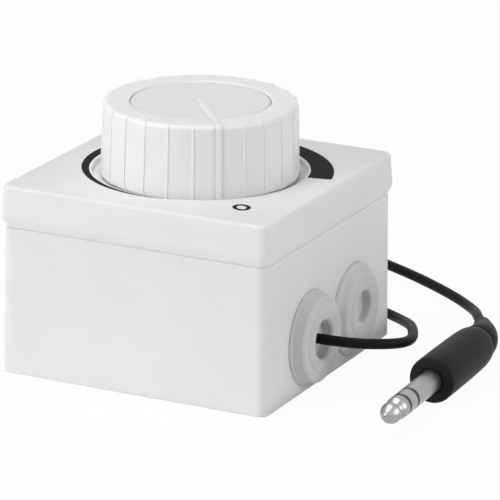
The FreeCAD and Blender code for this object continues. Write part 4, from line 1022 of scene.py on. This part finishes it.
@dataclass
class CableEntries(CadAssembly):
    """Two stepped rubber grommets. The closed one is made here for its off-centre opening."""

    slots: tuple[tuple[str, str], ...] = (("grommet_cabled", "grommet_grey"),)
    seat: Point = (15.2, -40.325, 14.6)         # middle of the closed one's flange on the wall
    tilt: float = 0.687                         # lean of the wall
    form: Profile = (                           # its outside, out from the wall
        (-0.6, 0.0), (-0.6, 8.6), (-4.2, 8.6), (-4.2, 10.45), (-3.0, 11.5), (-2.4, 11.5),
        (-2.4, 10.45), (0.0, 10.45), (0.0, 13.4), (0.3, 13.38), (0.7, 13.2), (1.0, 12.85),
        (1.1, 12.5), (1.1, 11.9), (1.25, 11.65), (2.5, 10.95), (2.85, 10.75), (3.1, 10.3),
        (3.12, 8.3), (3.2, 7.95), (3.45, 7.7), (3.6, 7.3))
    opening: Profile = (                        # from its rim to its floor
        (3.6, 5.2), (3.52, 4.85), (3.3, 4.6), (3.0, 4.5), (1.1, 4.3), (0.9, 4.0), (0.9, 0.0))
    opening_rise: float = 1.1                   # of the opening's middle over the axis
    sides: int = 96

    def build(self, finishes: Finishes) -> list[bpy.types.Object]:
        """Dresses the cabled grommet and makes the closed one.

        Args:
            finishes: the materials.

        Returns:
            The pieces.
        """
        pieces = super().build(finishes)
        lean = math.radians(self.tilt)
        axis = Vector((0.0, -math.cos(lean), math.sin(lean)))
        rise = Vector((0.0, math.sin(lean), math.cos(lean))) * self.opening_rise
        seat = Vector(self.seat)
        stations: list[Station] = [(seat + axis * place, axis, radius)
                                   for place, radius in self.form]
        stations += [(seat + rise + axis * place, axis, radius) for place, radius in self.opening]
        closed = finishes.dress(swept("grommet_closed", stations, self.sides), "grommet_grey")
        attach(closed, "root")
        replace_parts(closed, "grommet_blank")
        return [*pieces, closed]


@dataclass
class Insert(CadAssembly):
    """Plate, board, potentiometer and switch inside the box."""

    slots: tuple[tuple[str, str], ...] = (
        ("mounting_plate", "zinc_steel"), ("plate_screws", "zinc_steel"),
        ("housing_screws", "zinc_steel"), ("board_screws", "zinc_steel"),
        ("terminal_screws", "zinc_steel"), ("potentiometer_lid", "zinc_steel"),
        ("retaining_ring", "zinc_steel"), ("lock_washer", "zinc_steel"),
        ("hex_nut", "nickel_brass"), ("threaded_bush", "nickel_brass"),
        ("control_shaft", "shaft_aluminium"), ("module_housing", "insert_black"),
        ("circuit_board", "board_green"), ("terminal_block", "inner_white"),
        ("potentiometer_case", "insert_black"), ("resistance_track", "track_brown"),
        ("potentiometer_pins", "contact_brass"), ("wiper_carrier", "inner_white"),
        ("wiper_contact", "contact_brass"), ("switch_case", "insert_black"),
        ("switch_pins", "contact_brass"), ("switch_leaf", "contact_brass"),
        ("switch_cam", "inner_white"), ("cable_tie", "inner_white"),
        ("conductor_wires", "wire_white"), ("cord_inner", "cord_black"))


def main() -> None:
    """Builds the studio and every sub-assembly."""
    logging.basicConfig(level=logging.INFO, format="%(message)s")
    log = logging.getLogger("scene")
    bpy.context.scene.view_settings.view_transform = "Standard"
    Studio().build()
    log.info("studio made")
    finishes = Finishes()
    for assembly in (JackLead(), Housing(), Knob(), CableEntries(), Insert()):
        for piece in assembly.build(finishes):
            log.info("%s: %s", type(assembly).__name__, piece.name)
    missing = [name for name, obj in frame["nodes"].items() if not obj.data.materials]
    if missing:
        log.warning("without a finish: %s", missing)


if __name__ == "__main__":
    main()
